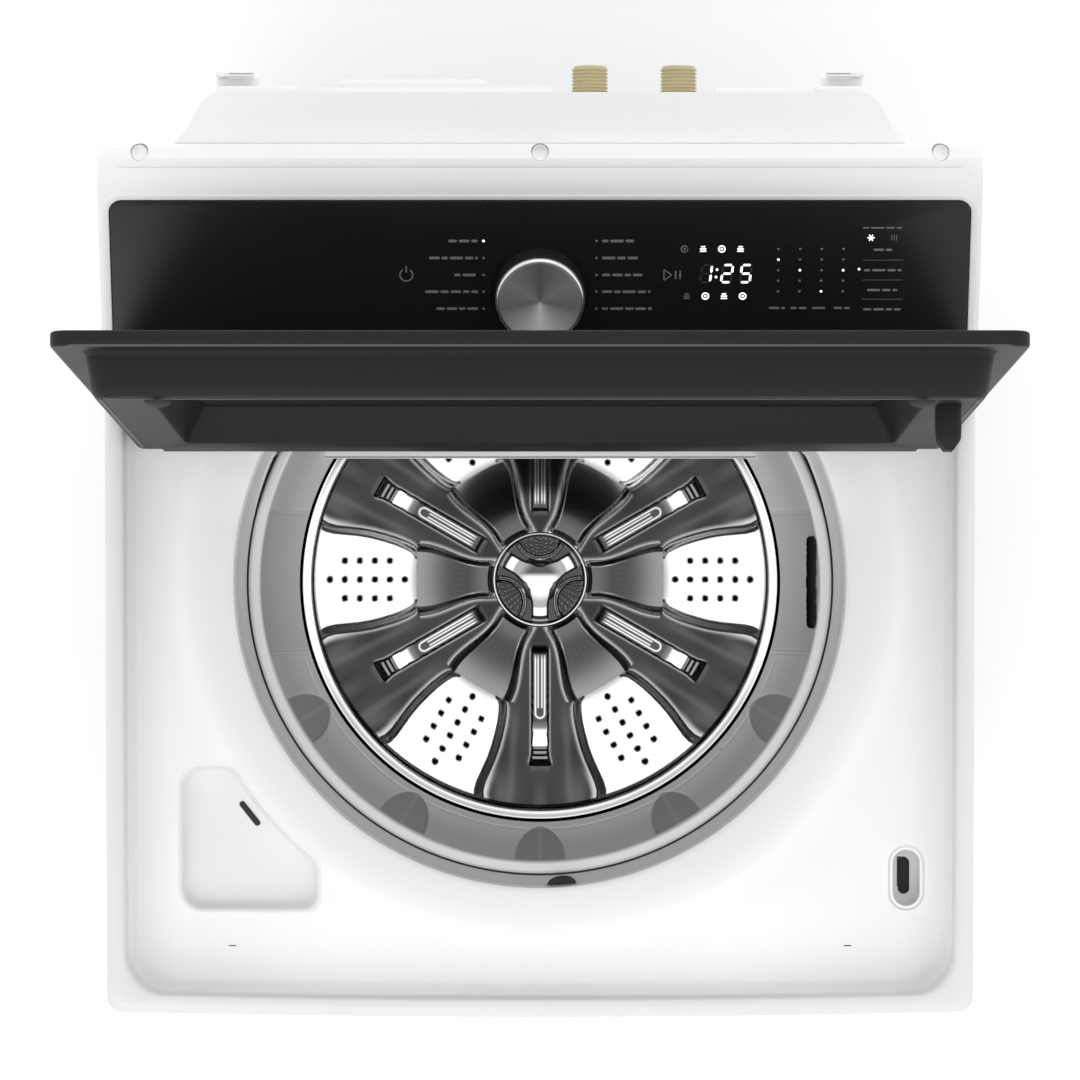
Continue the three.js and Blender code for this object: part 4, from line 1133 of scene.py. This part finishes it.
def build_fascia():
    """The black sloping plate with a well for the knob, in a thin frame."""
    plate = make("control_fascia", *slab(box_outline(-308, 308, 10, 138, 9.5), -3, 0, 0.8, 3), "black_glass",
                 "cabinet", ("control_fascia",), place=on_slope)
    well = loose(*prism(circle(35.5, 96, 0, KNOB_UP), -1.4, 5), place=on_slope)
    recut(plate, [well], "black_glass", "cabinet")
    rows = []
    for grow, out in ((8.0, 0.1), (7.4, 0.55), (6.4, 0.9), (1.6, 0.9), (0.7, 0.6), (0.35, -0.6)):
        side = 308 + min(grow, 5.2)
        outline = box_outline(-side, side, 10 - min(grow, 4), 138 + min(grow, 3.4), 9.5 + min(grow, 5))
        rows.append(level(outline, out))
    make("fascia_frame", *lofted(rows), "white_plastic", "cabinet", place=on_slope)


def bar(x, up, width, height=1.5, round_by=0.35):
    """A flat printed bar with rounded corners."""
    outline = box_outline(x - width / 2, x + width / 2, up - height / 2, up + height / 2,
                          min(round_by, height * 0.45, width * 0.45), 3)
    return slab(outline, PRINT_LOW, 0.06, 0.02, 1)


def disc(x, up, radius):
    return slab(circle(radius, 20, x, up), PRINT_LOW, PRINT_HIGH, 0.02, 1)


def arc_band(x, up, radius, width, first, last, steps=24):
    """A flat ring or part of one, from one angle to another in degrees."""
    rows = []
    for k in range(steps + 1):
        angle = radians(blend(first, last, k / steps))
        ends = [(x + r * cos(angle), up + r * sin(angle)) for r in (radius - width / 2, radius + width / 2)]
        rows.append(level(ends, PRINT_LOW) + level(ends[::-1], PRINT_HIGH))
    return lofted(rows, capped=True)


def stroke(first, last, half):
    """A thin straight mark between two places."""
    dx, dy = last[0] - first[0], last[1] - first[1]
    length = hypot(dx, dy) / half
    dx, dy = dx / length, dy / length
    corners = ((*first, 1), (*first, -1), (*last, -1), (*last, 1))
    return prism([(x - side * dy, y + side * dx) for x, y, side in corners], PRINT_LOW, PRINT_HIGH)


def dashes(start, up, width, seed, height=1.9):
    """A label's stand-in: plain round-ended bars in place of words."""
    bars, x, k = [], start, seed
    while x < start + width - 1:
        size = min((7.5, 4.5, 9.5, 6)[k % 4], start + width - x)
        bars.append(bar(x + size / 2, up, size, height, 0.8))
        x += size + 1.4
        k += 1
    return bars


def digit(x, up, lit_segments):
    """Slanted strokes of a seven segment digit, 7.4 wide and 13 high."""
    strokes = {"a": (0, 13, 7, 13), "b": (7, 13, 7, 6.5), "c": (7, 6.5, 7, 0), "d": (0, 0, 7, 0),
               "e": (0, 6.5, 0, 0), "f": (0, 13, 0, 6.5), "g": (0, 6.5, 7, 6.5)}
    shapes = []
    for name in lit_segments:
        x0, y0, x1, y1 = strokes[name]
        length = hypot(x1 - x0, y1 - y0)
        ux, uy = (x1 - x0) / length, (y1 - y0) / length
        outline = []
        for along, side in ((0.6, 0), (1.4, -0.8), (length - 1.4, -0.8), (length - 0.6, 0),
                            (length - 1.4, 0.8), (1.4, 0.8)):
            px, py = x0 + ux * along - uy * side, y0 + uy * along + ux * side
            outline.append((x + px + 0.12 * py, up + py))
        shapes.append(prism(outline, PRINT_LOW, PRINT_HIGH))
    return shapes


def build_graphics():
    """Dim generic marks and lit lamps on the fascia. No words: each label is a short bar."""
    dim, lit, ghost = [], [], []
    for row, up in enumerate((107.6, 94.8, 82.0, 69.3, 56.5)):
        for side, widths in ((-1, (21, 35, 17, 38, 30)), (1, (25, 27, 29, 35, 36))):
            x, width = side * 40.5, widths[row]
            (lit if side == -1 and row == 0 else dim).append(disc(x, up, 0.95))
            start = x + 4 if side > 0 else x - 4 - width
            dim.extend(dashes(start, up, width, row + side, 2.0))
    dim.append(arc_band(-96, 82, 4.6, 1.0, 125, 415))
    dim.append(bar(-96, 86.2, 1.0, 5.2))
    dim += [bar(x, 82, 1.1, 6.4) for x in (97.4, 100.6)]
    corners = ((89, 78), (89, 86), (94.6, 82))
    dim += [stroke(corners[k], corners[(k + 1) % 3], 0.42) for k in range(3)]
    for shown, x in (("bc", 115), ("abged", 130), ("afgcd", 143.5)):
        lit += digit(x, 76.5, shown)
        ghost += digit(x, 76.5, [s for s in "abcdefg" if s not in shown])
    lit += [disc(126.4, 80.4, 0.95), disc(127.1, 86, 0.95)]
    for up, first in ((101.6, 103.5), (66, 105.5)):
        for k in range(4):
            x = first + 13.4 * k
            marks = lit if k > 0 else dim
            if (k + (up > 90)) % 2:
                marks += [arc_band(x, up, 2.3, 0.9, 0, 360), disc(x, up, 0.9)]
            else:
                lines = ((-1.7, 4.6), (0, 4.6), (1.7, 3.2))
                marks += [bar(x, up + rise, width, 0.9) for rise, width in lines]
    lamps = {(0, 1), (1, 2), (2, 4), (3, 2)}
    for column, x in enumerate((171, 186.5, 202, 217.6)):
        dim.extend(dashes(x - 6.2, 57, 11.5, column, 1.6))
        for row in range(5):
            (lit if (column, row) in lamps else dim).append(disc(x, 101.6 - 8 * row, 0.9))
    lit.append(disc(229, 86.4, 0.9))
    for k, (up, width) in enumerate(((101, 14), (85.6, 27), (70.6, 22), (56, 27))):
        dim.extend(dashes(246 - width / 2, up, width, k, 1.7))
        if k:
            dim.append(bar(246, up + 7.6, 29, 0.3, 0.1))
    dim.extend(dashes(231, 117.5, 28, 1, 1.1))
    for k in range(3):
        dim.append(bar(252 + 1.7 * k, 110, 0.5, 4.2))
        dx, dy = 2.6 * cos(radians(60 * k)), 2.6 * sin(radians(60 * k))
        lit.append(stroke((237 + dx, 110 + dy), (237 - dx, 110 - dy), 0.364))
    for name, shapes, look in (("print", dim, PRINT), ("lamps", lit, LIT), ("unlit", ghost, UNLIT)):
        make("fascia_" + name, *joined(*shapes), look, "cabinet", place=on_slope, slot="black_glass")


def on_knob(x, y, z):
    """A place on the knob before it is set on the slope."""
    return Vector((x * MM, y * MM, z * MM))


def build_knob():
    """A ribbed black knob whose cap is turned metal with a bright bevel."""
    turn = Matrix.Translation(on_slope(0, KNOB_UP)) @ Matrix.Rotation(TILT, 4, "X")
    sides = 240
    rows = []
    for radius, z, ribs in ((28, -1.2, 0), (31.6, -1.2, 0), (32.0, -0.8, 0), (32.2, 0.6, 0), (32.2, 3, 0.35),
                            (32.1, 11, 0.35), (31.9, 18.4, 0.35), (31.7, 19.6, 0), (31.3, 20.4, 0),
                            (30, 20.5, 0)):
        row = []
        for k in range(sides):
            reach = radius - ribs * (k % 4 < 2)
            row.append((reach * cos(TAU * k / sides), reach * sin(TAU * k / sides), z))
        rows.append(row)
    cap = [(28.6, 20.5), (31.6, 20.9), (31.8, 21.3), (31.6, 21.9), (29.6, 24.3), (29.0, 24.6), (28.2, 24.7)]
    cap += [(28.2 - 28.15 * k / 14, 24.7 - 0.3 * sin(pi / 2 * k / 14)) for k in range(1, 15)]
    bevel = [(29.6, 24.1), (29.75, 24.0), (31.2, 22.4), (31.3, 22.3), (31.45, 22.4), (31.35, 22.75),
             (29.95, 24.3), (29.7, 24.3)]
    for name, shape, look, angle, replaced in (
            ("knob_body", lofted(rows), "black_plastic", 35, ("knob_body",)),
            ("knob_cap", lathed(cap, sides), "brushed_metal", 20, ("knob_cap",)),
            ("knob_bevel", lathed(bevel, sides), "chrome", 60, ())):
        piece = make(name, *shape, look, "knob", replaced, angle, on_knob)
        piece.matrix_world = turn
        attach(piece, "knob")


build_console()
build_fascia()
build_graphics()
build_knob()


# --- rear: cover, inlets and hose hooks ------------------------------------------------------------

def facing_back(a, b, d):
    """A flat shape stood up so that its thickness runs along the depth."""
    return a, d, b


def build_inlet(name, x):
    """A threaded inlet: ten rounded crests, a chamfered end, and the bore with its filter disc."""
    profile = [(13, 331), (13, 344), (12.6, 345)]
    for k in range(10):
        y = 346 + 2.55 * k
        profile += [(11.9, y), (12.1, y + 0.5), (13.2, y + 1.05), (13.2, y + 1.5), (12.1, y + 2.05)]
    profile += [(12.2, 371.8), (11.4, 373), (9.9, 373), (9.4, 372.2), (9.4, 350), (0.05, 349.4)]
    tube = carried(lathed(profile, 72), lambda a, b, d: (x + a, d, INLET_Z + b))
    body = carried(slab(box_outline(x - 12, x + 12, 961, 989, 2, 4), 318, 330.6, 1, 3), facing_back)
    make(name, *joined(tube, body), "beige_plastic", "cabinet", (name,), angle=40)
    parts = []
    for radius in (2.2, 4.4, 6.6):
        parts.append(carried(arc_band(0, 0, radius, 0.5, 0, 360, 40),
                             lambda a, b, d: (x + a, 350.2 + d * 4, INLET_Z + b)))
    for k in range(6):
        spoke = turned([(0.8, -0.3), (8.8, -0.3), (8.8, 0.3), (0.8, 0.3)], pi * k / 3)
        parts.append(carried(prism(spoke, 0.05, 0.4), lambda a, b, d: (x + a, 350 + d * 2, INLET_Z + b)))
    make(name + "_filter", *joined(*parts), "white_plastic", "cabinet")


def build_hook(name, side):
    """A hose clip: a block, a thin slotted bar, and a wide round outer end."""
    x = side * 218

    def outward(a, b, d):
        return x - side * a, d, b

    block = slab(box_outline(-15.6, 15.6, 971, 974.8, 0.8, 3), 352.4, 364.6, 0.6, 3)
    parts = [carried(block, lambda a, b, d: (x + a, d, b))]
    parts.append(carried(slab(box_outline(-15, 44, 968, 992, 2, 4), 352.3, 357.4, 0.8, 3), outward))
    for low, high in ((365.0, 366.2), (366.8, 367.9)):
        plate = slab(box_outline(-15.6, 12, 973.6, 988.6, 2.4, 5), low, high, 0.3, 2)
        parts.append(carried(plate, outward))
    ring = [(10.6 + 5 * cos(TAU * k / 28), 366.3 + 1.6 * sin(TAU * k / 28)) for k in range(28)]
    parts.append(carried(slab(ring, 971.5, 988.8, 0.7, 3), lambda a, b, d: (x + side * a, b, d)))
    make(name, *joined(*parts), "white_plastic", "cabinet", (name,))


def build_rear():
    """The hose fittings, the rear cover and its cross-head screws."""
    build_inlet("inlet_valve_cold", 36)
    build_inlet("inlet_valve_hot", 100)
    build_hook("hose_hook_left", -1)
    build_hook("hose_hook_right", 1)
    from_cad("rear_cover", "white_plastic", "cabinet", (), 2.2, 4)
    screws = []
    head = lathed([(4.6, 0), (4.6, 0.6), (3.8, 1.5), (2.2, 1.9), (0.05, 2.0)], 32)
    for x, z in ((-150, 940), (0, 940), (150, 940), (-290, 880), (290, 880), (-290, 480), (290, 480),
                 (-290, 90), (290, 90)):
        y = 352.2 if abs(x) < 200 else 313.2
        cross = [prism(turned([(-2.4, -0.35), (2.4, -0.35), (2.4, 0.35), (-2.4, 0.35)], turn), 1.9, 2.05)
                 for turn in (0, pi / 2)]
        screws += [carried(shape, lambda a, b, d: (x + a, y + d, z + b)) for shape in (head, *cross)]
    make("rear_screws", *joined(*screws), "machined_steel", "cabinet")


# --- cabinet, springs and feet -----------------------------------------------------------------------

def coil(name, x, y):
    """A suspension spring: wire wound between flattened ends, over a damper's cup."""
    steps, turns, low, high, radius, wire = 260, 7.5, 351.6, 447.8, 12.9, 1.9
    rows = []
    for k in range(steps + 1):
        t = k / steps
        angle = TAU * turns * t
        z = blend(low, high, min(max((t - 0.06) / 0.88, 0), 1))
        centre = Vector((x + radius * cos(angle), y + radius * sin(angle), z))
        outward = Vector((cos(angle), sin(angle), 0))
        rows.append([tuple(centre + outward * a + Vector((0, 0, b))) for a, b in circle(wire, 10)])
    make(name, *lofted(rows, capped=True), "machined_steel", "tub", (name,), angle=60)
    cup = lathed([(16.9, 335.8), (16.9, 353), (15.9, 353), (15.9, 336.8), (9.6, 336.8), (9.6, 353),
                  (8.4, 353), (8.4, 335.8), (16.9, 335.8)], 48, (x, y))
    make(name.replace("spring", "cup"), *cup, "black_plastic", "cabinet")


def build_foot(name, x, y):
    """A rubber foot on a threaded stem, no taller than the part's own foot."""
    profile = [(0.05, 0), (17.6, 0), (19.2, 0.6), (20, 2), (20, 9), (19, 11), (14, 12.2), (10, 12.6),
               (0.05, 12.6)]
    thread = [(0.05, 12.4), (5.2, 12.4)]
    for k in range(14):
        z = 13 + 2.2 * k
        thread += [(5.2, z), (6.1, z + 0.7), (6.1, z + 1.0), (5.2, z + 1.7)]
    thread += [(5.2, 44.0), (0.05, 44.2)]
    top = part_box(name)[1].z / MM
    stem = lathed([(radius, min(z, top)) for radius, z in thread], 32, (x, y))
    make(name, *joined(lathed(profile, 72, (x, y)), stem), "rubber", name, (name,))


build_rear()
from_cad("cabinet_shell", "white_steel", "cabinet", (), 0.6, 2, 40)
for corner, side_x, side_y in (("front_left", -1, -1), ("front_right", 1, -1), ("rear_left", -1, 1),
                               ("rear_right", 1, 1)):
    build_foot("foot_" + corner, side_x * 278, side_y * 276)
    coil("suspension_spring_" + corner, side_x * 262, side_y * 262)


# --- the nodes that stay as they are -----------------------------------------------------------------

record_slots = {part["node"]: part["material_slot"] for part in frame["record"]["subparts"]}
for node, item in frame["nodes"].items():
    item.data.materials.clear()
    item.data.materials.append(LOOKS[record_slots[node]])
    if "tone" not in item.data.color_attributes:
        shade = item.data.color_attributes.new("tone", "FLOAT_COLOR", "POINT")
        for entry in shade.data:
            entry.color = (0.9, 0.9, 0.9, 1)
    if not item.hide_render:
        edges = item.modifiers.new("edges", "BEVEL")
        edges.width = 0.5 * MM
        edges.segments = 2
        edges.limit_method = "ANGLE"
        edges.angle_limit = radians(35)


# --- floor, lights and camera -----------------------------------------------------------------------

def lamp(name, place, aim, energy, size):
    data = bpy.data.lights.new(name, "AREA")
    data.energy = energy
    data.shape = "RECTANGLE"
    data.size, data.size_y = size
    light = bpy.data.objects.new(name, data)
    light.location = place
    light.rotation_euler = (Vector(aim) - Vector(place)).to_track_quat("-Z", "Y").to_euler()
    scene.collection.objects.link(light)


floor_mesh = bpy.data.meshes.new("floor")
floor_mesh.from_pydata([(-8, -8, 0), (8, -8, 0), (8, 8, 0), (-8, 8, 0)], [], [(0, 1, 2, 3)])
floor = bpy.data.objects.new("floor", floor_mesh)
scene.collection.objects.link(floor)
floor_mesh.materials.append(material("floor", (0.97, 0.97, 0.97), 0.7, grain=40, depth=0.01, mottle=0.004))

world = bpy.data.worlds.new("studio")
scene.world = world
world.use_nodes = True
world.node_tree.nodes["Background"].inputs["Color"].default_value = (1, 1, 1, 1)
world.node_tree.nodes["Background"].inputs["Strength"].default_value = 1.1
lamp("key", (-1.2, -2.8, 3.4), (0, -0.1, 0.9), 22, (2.2, 2.2))
lamp("fill", (2.4, -0.6, 3.0), (0, 0, 0.8), 6, (2.4, 2.4))
lamp("rear", (0.4, 2.6, 3.2), (0, 0.1, 0.9), 5, (2.4, 1.6))

scene.view_settings.view_transform = "Standard"
camera_data = bpy.data.cameras.new("camera")
camera_data.lens = 166.67
camera_data.sensor_width = 36
camera_data.clip_end = 60
camera = bpy.data.objects.new("camera", camera_data)
camera.location = (0, -0.0038, 4.586)
camera.rotation_euler = (radians(0.108), 0, 0)
scene.collection.objects.link(camera)
scene.camera = camera
